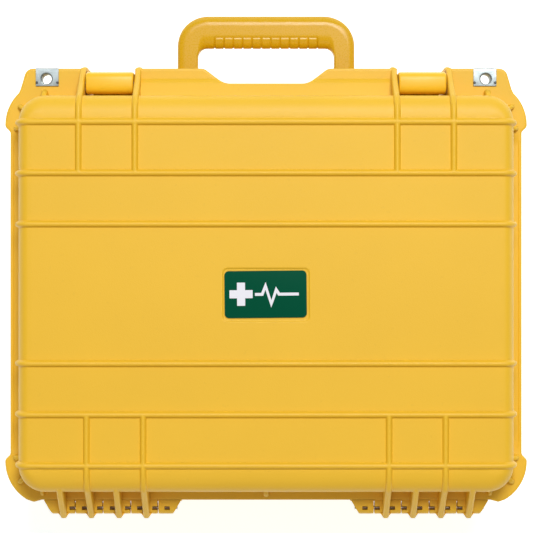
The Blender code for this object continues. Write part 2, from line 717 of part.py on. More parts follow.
def padlock_eye(name, side, lid):
    """A folded steel plate with a tube that lines the padlock hole."""
    x = side * EYE_X
    face = LID_FLANGE_Z1 + GAP if lid else BASE_FLANGE_Z0 - GAP
    out = EYE_SHEET if lid else -EYE_SHEET
    front = -FLANGE_FRONT - GAP
    lip_end = LID_FLANGE_Z0 + 1.5 if lid else BASE_FLANGE_Z1 - 1.5
    outline = [(EYE_PLATE_BACK, face), (front, face), (front, lip_end), (front - EYE_SHEET, lip_end)]
    outline += [(front - EYE_SHEET, face + out), (EYE_PLATE_BACK, face + out)]
    plate = prism(name, outline, "X", x - EYE_PLATE_HALF, x + EYE_PLATE_HALF, "steel")
    ends = sorted((face + out * 0.6, LID_FLANGE_Z0 + GAP if lid else BASE_FLANGE_Z1 - GAP))
    fuse(plate, [rod("eye_tube", "Z", (x, EYE_Y), EYE_TUBE_R, ends[0], ends[1], 16)])
    cut(plate, [rod("eye_bore", "Z", (x, EYE_Y), EYE_R, 110, 160, 16)])


def pressure_valve():
    """The vent that lets trapped air in and out: its stem passes through the front wall to a nut."""
    wall = -BODY_Y + 1.6
    inside = wall + WALL + GAP
    body = rod("vent_body", "Y", (VALVE_X, VALVE_Z), VALVE_R, wall - 3.4, wall - GAP, 16, "valve_black")
    fuse(body, [rod("vent_stem", "Y", (VALVE_X, VALVE_Z), VALVE_STEM_R, wall - 2, inside + 2.4, 12)])
    nut = rod("vent_nut", "Y", (VALVE_X, VALVE_Z), 8.0, inside, inside + 2.0, 6, "valve_black")
    thread_r = VALVE_STEM_R + GAP
    cut(nut, [rod("vent_thread", "Y", (VALVE_X, VALVE_Z), thread_r, inside - 5, inside + 8, 12)])
    rod("vent_cap", "Y", (VALVE_X, VALVE_Z), 6.0, wall - 5.2, wall - 3.4 - GAP, 12, "valve_black")


# ---------------------------------------------------------------- foam and spare pads


def unit_outline(offset, steps=4):
    centre = (UNIT_X, UNIT_Y)
    return rounded(UNIT_HALF + offset, UNIT_HALF + offset, UNIT_R + offset, centre, steps)


def foam_ring(z, shrink_x=1.0, shrink_y=1.0):
    return [(x * shrink_x, y * shrink_y, z) for x, y, _ in body_ring(-FOAM_INSET, 0.0, 3)]


def unit_pocket(low, high):
    return prism("foam_unit_pocket", unit_outline(BUMPER_OUT + UNIT_CLEAR, 3), "Z", low, high)


def foams():
    """Two layers of base foam, nested for the unit and the spare pads, and the lid's foam."""
    bottom = BASE_PANEL_Z + WALL + FOAM_CLEAR
    rings = [foam_ring(bottom, FOAM_TAPER, FOAM_TAPER), foam_ring(BASE_PANEL_Z + 16)]
    lower = loft("base_foam_lower", [*rings, foam_ring(POCKET_FLOOR_Z - GAP)], "foam_grey")
    cut(lower, [unit_pocket(FOAM_FLOOR_Z, FOAM_TOP_Z)])
    upper = loft("base_foam_upper", [foam_ring(POCKET_FLOOR_Z), foam_ring(FOAM_TOP_Z)], "foam_grey")
    below, above = POCKET_FLOOR_Z - 10, FOAM_TOP_Z + 10
    half_x = UNIT_HANDLE_HALF + 6
    handle_low = (UNIT_X - half_x, UNIT_Y - UNIT_HALF - UNIT_HANDLE_OUT - 4, below)
    handle_high = (UNIT_X + half_x, UNIT_Y - UNIT_HALF + 10, above)
    cuts = [
        unit_pocket(below, above),
        block("foam_handle_pocket", handle_low, handle_high),
        block("foam_spare_pocket", (POCKET[0], POCKET[2], below), (POCKET[1], POCKET[3], above)),
    ]
    cut(upper, cuts)
    top = LID_FACE_Z - WALL - FOAM_CLEAR
    lid_rings = [foam_ring(LID_FOAM_Z), foam_ring(LID_FACE_Z - 14), foam_ring(top, 0.965, FOAM_TAPER)]
    loft("lid_foam", lid_rings, "foam_grey")


def spare_pads():
    """A flat sealed pouch of spare electrode pads lying in its pocket."""
    x, y = (POCKET[0] + POCKET[1]) / 2, (POCKET[2] + POCKET[3]) / 2
    half_x, half_y = 62.0, 110.0
    low = POCKET_FLOOR_Z + GAP
    rings = [
        at_height(rounded(half_x - 6, half_y - 6, 8, (x, y), 2), low),
        at_height(rounded(half_x, half_y, 8, (x, y), 2), low + 5),
        at_height(rounded(half_x, half_y, 8, (x, y), 2), low + 7),
        at_height(rounded(half_x - 18, half_y - 18, 8, (x, y), 2), low + 14),
    ]
    loft("spare_pads_pouch", rings, "foil_pouch")


# ---------------------------------------------------------------- defibrillator unit


def unit_rings(levels):
    return [at_height(unit_outline(offset), z) for offset, z in levels]


def unit_point(dx, dy):
    return UNIT_X + dx, UNIT_Y + dy


def unit_rear_housing():
    outside = ((-8, UNIT_Z0), (0, UNIT_Z0 + 8), (0, UNIT_SEAM_Z - GAP / 2))
    hollow = ((-11, UNIT_Z0 + UNIT_WALL), (-UNIT_WALL, UNIT_Z0 + 11), (-UNIT_WALL, UNIT_SEAM_Z + 5))
    housing = loft("unit_rear_housing", unit_rings(outside), "unit_dark")
    bay_low = (*unit_point(-BATTERY_HALF_X, UNIT_HALF - BATTERY_DEPTH), UNIT_Z0 + 6)
    bay_high = (*unit_point(BATTERY_HALF_X, UNIT_HALF + 5), UNIT_Z0 + 30)
    cut(housing, [loft("rear_hollow", unit_rings(hollow)), block("rear_battery_bay", bay_low, bay_high)])


def unit_front_housing():
    """The front housing with the well of the pads cartridge and the holes of its controls."""
    outside = ((0, UNIT_SEAM_Z + GAP / 2), (-2, UNIT_Z1 - 9), (-11, UNIT_Z1))
    hollow = ((-UNIT_WALL, UNIT_SEAM_Z - 5), (-UNIT_WALL - 2, UNIT_Z1 - 12))
    hollow += ((-13, UNIT_Z1 - UNIT_WALL),)
    housing = loft("unit_front_housing", unit_rings(outside), "unit_light")
    y0, y1 = CARTRIDGE_Y
    well_low = (*unit_point(-CARTRIDGE_HALF_X - GAP, y0 - GAP), CARTRIDGE_WELL_Z)
    well_high = (*unit_point(CARTRIDGE_HALF_X + GAP, y1 + GAP), UNIT_Z1 + 5)
    wall = 2.5
    box_low = (*unit_point(-CARTRIDGE_HALF_X - wall, y0 - wall), CARTRIDGE_WELL_Z - wall)
    box_high = (*unit_point(CARTRIDGE_HALF_X + wall, y1 + wall), UNIT_Z1 - 1)
    cut(housing, [loft("front_hollow", unit_rings(hollow))])
    fuse(housing, [block("front_well_box", box_low, box_high)])
    px, py, half_px, half_py = POWER
    power = rounded(half_px + GAP, half_py + GAP, 4 + GAP, unit_point(px, py), 2)
    low, high = CARTRIDGE_WELL_Z - 16, UNIT_Z1 + 20
    cuts = [block("front_well", well_low, well_high), prism("front_power_hole", power, "Z", low, high)]
    for x, y, radius in (SHOCK, STATUS, SPEAKER):
        cuts.append(rod("front_round_hole", "Z", unit_point(x, y), radius + GAP, low, high, 24))
    cut(housing, cuts)


def unit_bumper():
    levels = ((BUMPER_OUT, BUMPER_Z0 + 3), (BUMPER_OUT, BUMPER_Z1 - 3))
    levels += ((GAP, BUMPER_Z1), (GAP, BUMPER_Z0))
    closed_ring("unit_bumper", unit_rings(levels), "rubber_black")


def unit_handle():
    """The unit's own carrying loop, fixed to its rear housing's front wall."""
    y0 = UNIT_Y - UNIT_HALF - BUMPER_OUT - GAP
    y1 = UNIT_Y - UNIT_HALF - UNIT_HANDLE_OUT
    outer, inner = UNIT_HANDLE_HALF, UNIT_HANDLE_HALF - 14
    right = [(inner, y0), (outer, y0), (outer, y1 + 16), (outer - 16, y1)]
    left = [(-x, y) for x, y in reversed(right)]
    hole = [(-inner, y1 + 22), (-inner + 6, y1 + 16), (inner - 6, y1 + 16), (inner, y1 + 22)]
    outline = [(UNIT_X + x, y) for x, y in right + left + hole]
    prism("unit_handle", outline, "Z", BUMPER_Z0 + 1, BUMPER_Z1 + 4, "unit_dark")


def unit_controls():
    top = BUTTON_TOP_Z
    x, y = unit_point(*SHOCK[:2])
    shock_origin = (x, y, top)
    rod("shock_button", "Z", (x, y), SHOCK[2], top - 9, top, 24, "shock_orange", shock_origin)
    px, py, half_x, half_y = POWER
    outline = rounded(half_x, half_y, 4, unit_point(px, py), 2)
    prism("power_button", outline, "Z", top - 9, top, "power_green", (*unit_point(px, py), top))
    window = unit_point(*STATUS[:2])
    rod("status_window", "Z", window, STATUS[2], UNIT_Z1 - 4, UNIT_Z1 + 0.4, 16, "window_clear")
    middle, radius = unit_point(*SPEAKER[:2]), SPEAKER[2]
    rod("speaker_grille", "Z", middle, radius, UNIT_Z1 - 3, UNIT_Z1 - 0.6, 20, "unit_dark")
    rod("speaker_driver", "Z", middle, radius - 1, UNIT_Z1 - 16, UNIT_Z1 - 3.4, 16, "unit_dark")


def pads_cartridge():
    """The sealed tray of electrode pads that clips into the unit, with its pull tab."""
    y0, y1 = CARTRIDGE_Y
    x, y = unit_point(0, (y0 + y1) / 2)
    half_x, half_y = CARTRIDGE_HALF_X, (y1 - y0) / 2
    floor = CARTRIDGE_WELL_Z + GAP
    edge = rounded(half_x, half_y, 1.5, (x, y), 2)
    raised = rounded(half_x - 3, half_y - 3, 4, (x, y), 2)
    rings = [at_height(edge, floor), at_height(edge, UNIT_Z1), at_height(raised, CARTRIDGE_TOP_Z)]
    tray = loft("pads_cartridge", rings, "unit_light")
    slot_low = (x - 30, y - half_y + 8, UNIT_Z1 - 6)
    slot_high = (x + 30, y - half_y + 34, CARTRIDGE_TOP_Z + 5)
    hollow_z = floor + 1.6
    hollow_low = (x - half_x + 3, y - half_y - 3, hollow_z)
    hollow_high = (x + half_x - 3, y + half_y - 3, UNIT_Z1 - 8)
    slot = block("cartridge_slot", slot_low, slot_high)
    cut(tray, [slot, block("cartridge_hollow", hollow_low, hollow_high)])
    tab_low = tuple(c + GAP for c in slot_low)
    tab_high = (slot_high[0] - GAP, slot_low[1] + 12, UNIT_Z1 + 1)
    block("cartridge_pull_tab", tab_low, tab_high, "shock_orange")
    pad_thick = 1.6
    for level, word in enumerate(("lower", "upper")):
        z = hollow_z + GAP + level * (pad_thick + 2 * GAP)
        block(f"electrode_pad_{word}", (x - 55, y - 45, z), (x + 55, y + 45, z + pad_thick), "gel_pad")


def unit_inside():
    x0, y0 = unit_point(-80, -80)
    block("circuit_board", (x0, y0, 82.0), (x0 + 150, y0 + 160, 83.6), "board_green")
    rod("shock_capacitor", "X", (UNIT_Y - 70, 58.0), 16, UNIT_X - 60, UNIT_X + 20, 16, "unit_dark")
    low = (*unit_point(-BATTERY_HALF_X + GAP, UNIT_HALF - BATTERY_DEPTH + GAP), UNIT_Z0 + 6 + GAP)
    high = (*unit_point(BATTERY_HALF_X - GAP, UNIT_HALF - 0.5), UNIT_Z0 + 30 - GAP)
    pack = block("battery_pack", low, high, "unit_dark")
    x, y = unit_point(0, UNIT_HALF - 0.5)
    notch_low, notch_high = (x - 12, y - 6, UNIT_Z0 + 22), (x + 12, y + 5, UNIT_Z0 + 40)
    cut(pack, [block("battery_notch", notch_low, notch_high)])
    tab_low = (x - 12 + GAP, y - 6 + GAP, UNIT_Z0 + 22 + GAP)
    block("battery_release_tab", tab_low, (x + 12 - GAP, y, UNIT_Z0 + 30 - 2 * GAP), "power_green")


def unit_screws():
    """Four screws from below hold the two housings together."""
    for number, (sx, sy) in enumerate(((1, 1), (-1, 1), (-1, -1), (1, -1)), 1):
        x, y = unit_point(sx * 84, sy * 84)
        low = UNIT_Z0 + UNIT_WALL + GAP
        rod(f"unit_screw_{number}", "Z", (x, y), 2.2, low, UNIT_SEAM_Z + 24, 8, "steel")


def main():
    lid_shell()
    base_shell()
    seal()
    label()
    hinge_pins()
    for side, word in ((1, "left"), (-1, "right")):
        latch(side, word)
        padlock_eye(f"padlock_eye_lid_{word}", side, True)
        padlock_eye(f"padlock_eye_base_{word}", side, False)
    handle()
    pressure_valve()
    foams()
    spare_pads()
    unit_rear_housing()
    unit_front_housing()
    unit_bumper()
    unit_handle()
    unit_controls()
    pads_cartridge()
    unit_inside()
    unit_screws()


clear_scene()
FRAME = bpy.data.objects.new("box_frame", None)
FRAME.location = (0.0, FRAME_SHIFT_Y * MM, 0.0)
bpy.context.scene.collection.objects.link(FRAME)
main()
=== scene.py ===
"""The look of a defibrillator in its waterproof carrying box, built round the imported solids.

Lengths are in millimetres, measured from the middle of the moulded body, and become metres when
a mesh is made. +Z goes up through the lid and -Y towards the handle.
"""

import json
import math

import bmesh
import bpy
import numpy as np
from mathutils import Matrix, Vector


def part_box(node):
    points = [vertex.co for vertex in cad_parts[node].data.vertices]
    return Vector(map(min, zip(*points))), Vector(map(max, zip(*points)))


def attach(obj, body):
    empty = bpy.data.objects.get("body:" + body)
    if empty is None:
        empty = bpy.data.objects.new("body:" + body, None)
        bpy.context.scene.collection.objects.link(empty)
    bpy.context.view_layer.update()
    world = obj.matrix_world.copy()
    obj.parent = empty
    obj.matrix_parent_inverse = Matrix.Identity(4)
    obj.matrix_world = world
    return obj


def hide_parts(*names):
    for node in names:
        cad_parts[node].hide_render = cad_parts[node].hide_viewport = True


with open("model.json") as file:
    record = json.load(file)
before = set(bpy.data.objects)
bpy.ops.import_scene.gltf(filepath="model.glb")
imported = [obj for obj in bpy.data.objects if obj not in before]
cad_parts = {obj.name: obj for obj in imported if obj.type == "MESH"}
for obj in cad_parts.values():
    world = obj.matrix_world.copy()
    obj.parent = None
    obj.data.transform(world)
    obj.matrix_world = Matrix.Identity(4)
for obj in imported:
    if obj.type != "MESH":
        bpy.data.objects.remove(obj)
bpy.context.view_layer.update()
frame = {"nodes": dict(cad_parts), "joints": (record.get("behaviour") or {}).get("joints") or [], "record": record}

bl_info = {
    "name": "Rescue Box",
    "version": (1, 0, 0),
    "blender": (4, 5, 0),
    "location": "View3D > Sidebar > Rescue Box",
    "description": "Builds a defibrillator in its hard carrying box, piece by piece",
    "category": "Add Mesh",
}

MM = 0.001
PLASTIC_EDGE = 35

# --- places read from the frame

JOINTS = {joint["name"]: joint for joint in frame["joints"]}
BODIES = frame["record"]["behaviour"]["bodies"]
BODY_OF = {node: body for body, nodes in BODIES.items() for node in nodes}


def box_mm(node):
    """Lowest and highest corner of a solid, in millimetres, from the middle of the moulded body."""
    low, high = (np.array(corner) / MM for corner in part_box(node))
    return low - ORIGIN, high - ORIGIN


def middle_of(node):
    """A solid's middle and half its size."""
    low, high = box_mm(node)
    return (low + high) / 2, (high - low) / 2


def pivot_mm(joint):
    return np.array(JOINTS[joint]["pos_m"]) / MM - ORIGIN


ORIGIN = np.zeros(3)
ORIGIN = middle_of("base_foam_upper")[0] * (0, 1, 0)
FOAM_LOW, FOAM_HIGH = box_mm("base_foam_upper")

HINGE = pivot_mm("lid_hinge")
LATCH = pivot_mm("latch_link_left_hinge")
LEVER = pivot_mm("latch_lever_left_hinge")
HANDLE = pivot_mm("handle_fold")
PARTING = HINGE[2]
SEAM = 0.15
LID_TOP = box_mm("lid_shell")[1][2]

# --- the moulded body

SIDES = ((1, "left"), (-1, "right"))
BODY_X, BODY_Y = 221.5, 177.5
CORNER = 24.0
RIB_HEIGHT = 3.0
RIB_WIDTH = 5.7
ROWS = (62.0, 107.4, 152.8)
FRONT_RIBS = (116.55, 166.75)
BACK_RIBS = (109.2, 159.5)
SHORT_RIBS = (134.1, 184.7)
FLANGE = 7.0
WALL = 4.0
LID_FACE = LID_TOP - RIB_HEIGHT
LID_RIM = PARTING + SEAM
BASE_FACE = RIB_HEIGHT
BASE_RIM = PARTING - SEAM


def shell_form(face, rim, draft, rounds, inward=0.0):
    """The driving sizes of one half's surface. rounds is the edge's size along X, Y and Z."""
    up = 1.0 if face > rim else -1.0
    return {
        "flat_x": BODY_X - CORNER,
        "flat_y": BODY_Y - CORNER,
        "corner": CORNER - draft - inward,
        "draft": draft,
        "rounds": tuple(max(size - inward, 3.0) for size in rounds),
        "face": face - up * inward,
        "rim": rim,
        "up": up,
    }


LID_ROUNDS = (10.0, 20.0, 14.0)
BASE_ROUNDS = (14.0, 14.0, 14.0)
LID_OUTSIDE = shell_form(LID_FACE, LID_RIM, 0.0, LID_ROUNDS)
LID_INSIDE = shell_form(LID_FACE, LID_RIM, 0.0, LID_ROUNDS, WALL)
BASE_OUTSIDE = shell_form(BASE_FACE, BASE_RIM, 3.0, BASE_ROUNDS)
BASE_INSIDE = shell_form(BASE_FACE, BASE_RIM, 3.0, BASE_ROUNDS, WALL)

# --- meshes from arrays


def unit(vectors):
    """Each vector divided by its length."""
    return vectors / np.maximum(np.linalg.norm(vectors, axis=-1, keepdims=True), 1e-12)


def grid_faces(rows, columns, wrap_rows=False, wrap_columns=False):
    """Quads between neighbours of a grid of points, numbered row by row."""
    i = np.arange(rows if wrap_rows else rows - 1)[:, None]
    j = np.arange(columns if wrap_columns else columns - 1)[None, :]
    after_i, after_j = (i + 1) % rows, (j + 1) % columns
    here, after = i * columns, after_i * columns
    corners = (here + j, here + after_j, after + after_j, after + j)
    return np.stack(corners, -1).reshape(-1, 4).tolist()


def tube(rings, capped=True, looped=False):
    """A surface through closed rings, with flat ends, or with its last ring joined to its first."""
    count, around = rings.shape[:2]
    faces = grid_faces(count, around, wrap_rows=looped, wrap_columns=True)
    if capped and not looped:
        faces += [list(range(around)), list(range((count - 1) * around, count * around))]
    return rings.reshape(-1, 3), faces


def merged(parts):
    """Several surfaces as one list of points and one of faces."""
    points, faces, start = [], [], 0
    for part_points, part_faces in parts:
        points.append(part_points)
        faces += [[start + corner for corner in face] for face in part_faces]
        start += len(part_points)
    return np.concatenate(points), faces


def joined_at_border(first, second):
    """Two grids of points of one size as a closed surface, with a strip between their borders."""
    rows, columns = first.shape[:2]
    count = rows * columns
    faces = grid_faces(rows, columns)
    faces += [[corner + count for corner in face] for face in faces]
    numbers = np.arange(count).reshape(rows, columns)
    border = np.concatenate((numbers[0], numbers[1:, -1], numbers[-1, -2::-1], numbers[-2:0:-1, 0]))
    after = np.roll(border, -1)
    faces += np.stack((border, after, after + count, border + count), -1).tolist()
    return np.concatenate((first.reshape(-1, 3), second.reshape(-1, 3))), faces


def mirrored(parts):
    """The same surfaces on the other side of the middle."""
    return [(points * (-1, 1, 1), faces) for points, faces in parts]


def mesh_of(name, parts):
    """Surfaces as one mesh in metres, its faces turned outwards."""
    points, faces = merged(parts)
    mesh = bpy.data.meshes.new(name)
    mesh.from_pydata((points + ORIGIN) * MM, [], faces)
    work = bmesh.new()
    work.from_mesh(mesh)
    bmesh.ops.recalc_face_normals(work, faces=work.faces)
    work.to_mesh(mesh)
    work.free()
    return mesh


def smoothed(mesh, sharp=PLASTIC_EDGE):
    """Smooth shading, broken at edges sharper than an angle in degrees."""
    mesh.shade_smooth()
    mesh.set_sharp_from_angle(angle=math.radians(sharp))


def piece(name, parts, finish, node, sharp=PLASTIC_EDGE):
    """Makes surfaces an object that stands for a solid and rides on that solid's body."""
    mesh = mesh_of(name, parts)
    smoothed(mesh, sharp)
    mesh.materials.append(bpy.data.materials[finish])
    made = bpy.data.objects.new(name, mesh)
    bpy.context.scene.collection.objects.link(made)
    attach(made, BODY_OF[node])
    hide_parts(node)
    return made


def cut_away(made, cutters):
    """Takes closed surfaces out of a piece with the exact Boolean; the result becomes its mesh."""
    helpers = []
    for surface in cutters:
        helper = bpy.data.objects.new("cutter", mesh_of("cutter", [surface]))
        bpy.context.scene.collection.objects.link(helper)
        modifier = made.modifiers.new("cut", "BOOLEAN")
        modifier.object = helper
        modifier.solver = "EXACT"
        helpers.append(helper)
    bpy.context.view_layer.update()
    seen = made.evaluated_get(bpy.context.evaluated_depsgraph_get())
    cut_mesh = bpy.data.meshes.new_from_object(seen)
    if not cut_mesh.polygons:
        raise RuntimeError(f"cutting left nothing of {made.name}")
    made.modifiers.clear()
    made.data = cut_mesh
    smoothed(cut_mesh)
    for helper in helpers:
        bpy.data.objects.remove(helper)


def finish_nodes(finish, *names):
    """Gives solids that are shown as they are their finish."""
    for name in names:
        materials = frame["nodes"][name].data.materials
        materials.clear()
        materials.append(bpy.data.materials[finish])


# --- outlines and solids


def rounded_outline(corners, degrees=9.0):
    """A closed outline through (x, y, radius) corners, with an arc of that radius in each corner."""
    points = []
    for index, (x, y, radius) in enumerate(corners):
        here = np.array((x, y), float)
        into = unit(here - np.array(corners[index - 1][:2], float))
        leaving = unit(np.array(corners[(index + 1) % len(corners)][:2], float) - here)
        turn = math.atan2(into[0] * leaving[1] - into[1] * leaving[0], into @ leaving)
        if radius <= 0 or abs(turn) < 1e-3:
            points.append(here[None])
            continue
        start = here - into * radius * math.tan(abs(turn) / 2)
        side = math.copysign(1.0, turn)
        centre = start + side * radius * np.array((-into[1], into[0]))
        angles = np.linspace(0, turn, max(3, math.ceil(abs(math.degrees(turn)) / degrees) + 1))
        spoke = start - centre
        turned = (
            spoke[0] * np.cos(angles) - spoke[1] * np.sin(angles),
            spoke[0] * np.sin(angles) + spoke[1] * np.cos(angles),
        )
        points.append(centre + np.stack(turned, -1))
    return np.concatenate(points)


def rectangle(half_x, half_y, radius, middle=(0.0, 0.0)):
    """An anticlockwise rectangle with rounded corners."""
    corners = [(half_x, -half_y), (half_x, half_y), (-half_x, half_y), (-half_x, -half_y)]
    return rounded_outline([(x, y, radius) for x, y in corners]) + np.array(middle)


def filled_in(line, spacing, closed=True):
    """The same line with points added so that none are further apart than spacing."""
    ends = np.roll(line, -1, axis=0) if closed else line[1:]
    starts = line if closed else line[:-1]
    counts = np.maximum(1, np.ceil(np.linalg.norm(ends - starts, axis=1) / spacing).astype(int))
    firsts = np.repeat(np.cumsum(counts) - counts, counts)
    share = (np.arange(counts.sum()) - firsts) / np.repeat(counts, counts)
    step = np.repeat(ends - starts, counts, axis=0)
    made = np.repeat(starts, counts, axis=0) + step * share[:, None]
    return made if closed else np.concatenate([made, line[-1:]])


def anticlockwise(outline):
    after = np.roll(outline, -1, axis=0)
    area = np.sum(outline[:, 0] * after[:, 1] - outline[:, 1] * after[:, 0])
    return outline if area > 0 else outline[::-1]


def inset(outline, amount):
    """An anticlockwise outline moved inwards: each point goes along its corner's bisector."""
    into = unit(outline - np.roll(outline, 1, axis=0))
    leaving = unit(np.roll(outline, -1, axis=0) - outline)
    left_into = np.stack((-into[:, 1], into[:, 0]), -1)
    left_leaving = np.stack((-leaving[:, 1], leaving[:, 0]), -1)
    share = 1 + np.sum(left_into * left_leaving, axis=1, keepdims=True)
    return outline + amount * (left_into + left_leaving) / np.maximum(share, 0.3)


AXES = {"X": (2, 0, 1), "Y": (0, 2, 1), "Z": (0, 1, 2)}


def lofted(rows, axis="Z", looped=False):
    """A surface through outlines of one point count, given as (outline, place along the axis) pairs."""
    rings = [np.column_stack((line, np.broadcast_to(place, len(line)))) for line, place in rows]
    return tube(np.array(rings)[..., AXES[axis]], looped=looped)


def slab(outline, axis, low, high, edge=0.8, steps=3):
    """An outline carried along an axis, with its two rims rounded by quarter circles of size edge."""
    outline = anticlockwise(np.asarray(outline, float))
    angles = np.linspace(math.pi / 2, 0, steps + 1)
    depth, pull = edge * (1 - np.sin(angles)), edge * (1 - np.cos(angles))
    stops = [(low + d, p) for d, p in zip(depth, pull)]
    stops += [(high - d, p) for d, p in zip(depth[::-1], pull[::-1])]
    return lofted([(inset(outline, p) if p else outline, place) for place, p in stops], axis)


def cutter(outline, axis, low, high):
    """A sharp-edged solid that takes material away: an outline carried along an axis."""
    return lofted([(outline, low), (outline, high)], axis)


def box_cutter(low, high):
    outline = np.array([(low[0], low[1]), (high[0], low[1]), (high[0], high[1]), (low[0], high[1])])
    return cutter(outline, "Z", low[2], high[2])


def block(low, high, edge=0.6):
    """A box with all its edges rounded."""
    plan = [(low[0], low[1]), (high[0], low[1]), (high[0], high[1]), (low[0], high[1])]
    return slab(rounded_outline([(x, y, edge) for x, y in plan], 30), "Z", low[2], high[2], edge)


def circle(centre, radius, count=32):
    angles = np.linspace(0, 2 * math.pi, count, endpoint=False)
    return np.stack((centre[0] + radius * np.cos(angles), centre[1] + radius * np.sin(angles)), -1)


def turned_solid(profile, centre, axis="Z", count=48):
    """A profile of (radius, height) pairs turned round an axis. It starts and ends at radius 0."""
    angles = np.linspace(0, 2 * math.pi, count, endpoint=False)
    radius, height = np.array(profile, float).T
    radius = np.maximum(radius, 0.01)
    a = radius[:, None] * np.cos(angles)
    b = radius[:, None] * np.sin(angles)
    along = np.broadcast_to(height[:, None], a.shape)
    order = {"Y": (a, along, b), "Z": (a, b, along)}[axis]
    return tube(np.stack(order, -1) + np.array(centre))


# --- the moulded surface


def nearest_on_body(points, outward=0.0):
    """For points in plan, the nearest points of the body's rounded rectangle, and the ways out."""
    flat = np.array((BODY_X - CORNER, BODY_Y - CORNER))
    core = np.clip(points, -flat, flat)
    away = unit(points - core)
    return core + (CORNER + outward) * away, away


def ring_round_body(section):
    """A closed section of (offset, height) pairs carried round the body's rounded rectangle."""
    rows = [(rectangle(BODY_X + out, BODY_Y + out, CORNER + out), z) for out, z in section]
    return lofted(rows, looped=True)


def lines_for(flat, middles, extra, levels):
    """Grid lines across one direction: (place on the flat part, level beyond it), low to high.

    Lines crowd round each rib's middle, and the levels beyond the flat part run over the edge.
    """
    share = np.array((0, 0.35, 0.65, 0.87, 0.98, 1.1))
    share = np.concatenate((-share[:0:-1], share)) * RIB_WIDTH / 2
    inner = np.concatenate([middle + share for middle in middles] + [np.array(extra)])
    inner = np.unique(np.round(inner[np.abs(inner) < flat], 3))
    keep = np.concatenate(([True], np.diff(inner) > 0.12))
    inner = inner[keep]
    places = np.concatenate((np.full(len(levels), -flat), inner, np.full(len(levels), flat)))
    beyond = np.concatenate((levels[::-1], np.zeros(len(inner)), levels))
    side = np.concatenate((-np.ones(len(levels)), np.sign(inner), np.ones(len(levels))))
    return places, beyond, side


FACE_LEVELS = np.array((0.0, 0.12, 0.24, 0.36, 0.5, 0.7, 1.0))
EDGE_LEVELS = 1 + np.linspace(0, 1, 10)[1:]
WALL_LEVELS = 2 + np.array((0.06, 0.35, 0.7, 1.0))
LEVELS = np.concatenate((FACE_LEVELS, EDGE_LEVELS, WALL_LEVELS))


def blanket(form, across, along):
    """One half's surface as a cloth laid over a rounded box, with its two grid directions.

    A point's level is 0 to 1 on the flat face's border, 1 to 2 over the round edge and 2 to 3 down
    the drafted wall. In the plan's corners the level is the larger of the two directions' levels,
    and their ratio gives the angle round the corner.
    """
    (flat_a, level_a, side_a), (flat_b, level_b, side_b) = across, along
    la, lb = np.meshgrid(level_a, level_b, indexing="ij")
    level = np.maximum(la, lb)
    low, high = np.minimum(la, lb), np.maximum(level, 1e-9)
    angle = math.pi / 4 * low / high
    angle = np.where(la >= lb, angle, math.pi / 2 - angle)
    rounds_x, rounds_y, rounds_z = form["rounds"]
    plan_round = rounds_x * np.cos(angle) ** 2 + rounds_y * np.sin(angle) ** 2
    over = np.clip(level - 1, 0, 1) * math.pi / 2
    down = np.clip(level - 2, 0, 1)
    reach = np.minimum(level, 1) * (form["corner"] - plan_round)
    reach = reach + plan_round * np.sin(over) + form["draft"] * down
    edge_z = form["face"] - form["up"] * rounds_z
    z = form["face"] - form["up"] * rounds_z * (1 - np.cos(over)) + (form["rim"] - edge_z) * down
    x = flat_a[:, None] + side_a[:, None] * reach * np.cos(angle)
    y = flat_b[None, :] + side_b[None, :] * reach * np.sin(angle)
    return np.stack((x, y, z), -1)


def outward_normals(grid, up):
    """Normals from the neighbours' differences, pointing out of the body."""
    normal = unit(np.cross(np.gradient(grid, axis=0), np.gradient(grid, axis=1)))
    middle = normal[normal.shape[0] // 2, normal.shape[1] // 2, 2]
    return normal * np.sign(middle) * up


def ridge(distance, height, width=RIB_WIDTH):
    """The height of a rounded rib at a distance from its middle line."""
    share = np.clip(np.abs(distance) / (width / 2), 0, 1)
    return height * (1 - share**2.4) ** 0.75


def rib_relief(x, y, height):
    """Height of the ribs over the plain surface: the rows, and the pairs of ribs at front and back."""
    relief = np.zeros_like(x)
    for row in ROWS:
        relief = np.maximum(relief, ridge(np.abs(y) - row, height))
    for middles, there in ((FRONT_RIBS, y < -ROWS[1]), (BACK_RIBS, y > ROWS[1])):
        for middle in middles:
            relief = np.maximum(relief, np.where(there, ridge(np.abs(x) - middle, height), 0))
    return relief


def shell_surface(outside, inside, relief, extra_x, extra_y):
    """A closed half: the outside with its relief, the plain inside, and the rim that joins them."""
    middles_x = [side * rib for rib in (*FRONT_RIBS, *BACK_RIBS) for side in (-1, 1)]
    middles_y = [side * row for row in ROWS for side in (-1, 1)]
    across = lines_for(outside["flat_x"], middles_x, extra_x, LEVELS)
    along = lines_for(outside["flat_y"], middles_y, extra_y, LEVELS)
    plain = blanket(outside, across, along)
    height = relief(plain[..., 0], plain[..., 1])
    raised = plain + outward_normals(plain, outside["up"]) * height[..., None]
    raised[..., 2] = np.clip(raised[..., 2], 0, LID_TOP)
    lining = blanket(inside, across, along)
    return joined_at_border(raised, lining)


# --- finishes


def new_finish(name, colour, roughness, metallic=0.0):
    """A material with a Principled shader: the node tree and that shader."""
    made = bpy.data.materials.new(name)
    made.use_nodes = True
    tree = made.node_tree
    shader = tree.nodes["Principled BSDF"]
    shader.inputs["Base Color"].default_value = (*colour, 1.0)
    shader.inputs["Roughness"].default_value = roughness
    shader.inputs["Metallic"].default_value = metallic
    return tree, shader


def add_node(tree, kind, **values):
    """A node with its sockets set by name; names with a leading underscore are node settings."""
    node = tree.nodes.new(kind)
    for key, value in values.items():
        if key.startswith("_"):
            setattr(node, key[1:], value)
        else:
            node.inputs[key.replace("_", " ")].default_value = value
    return node


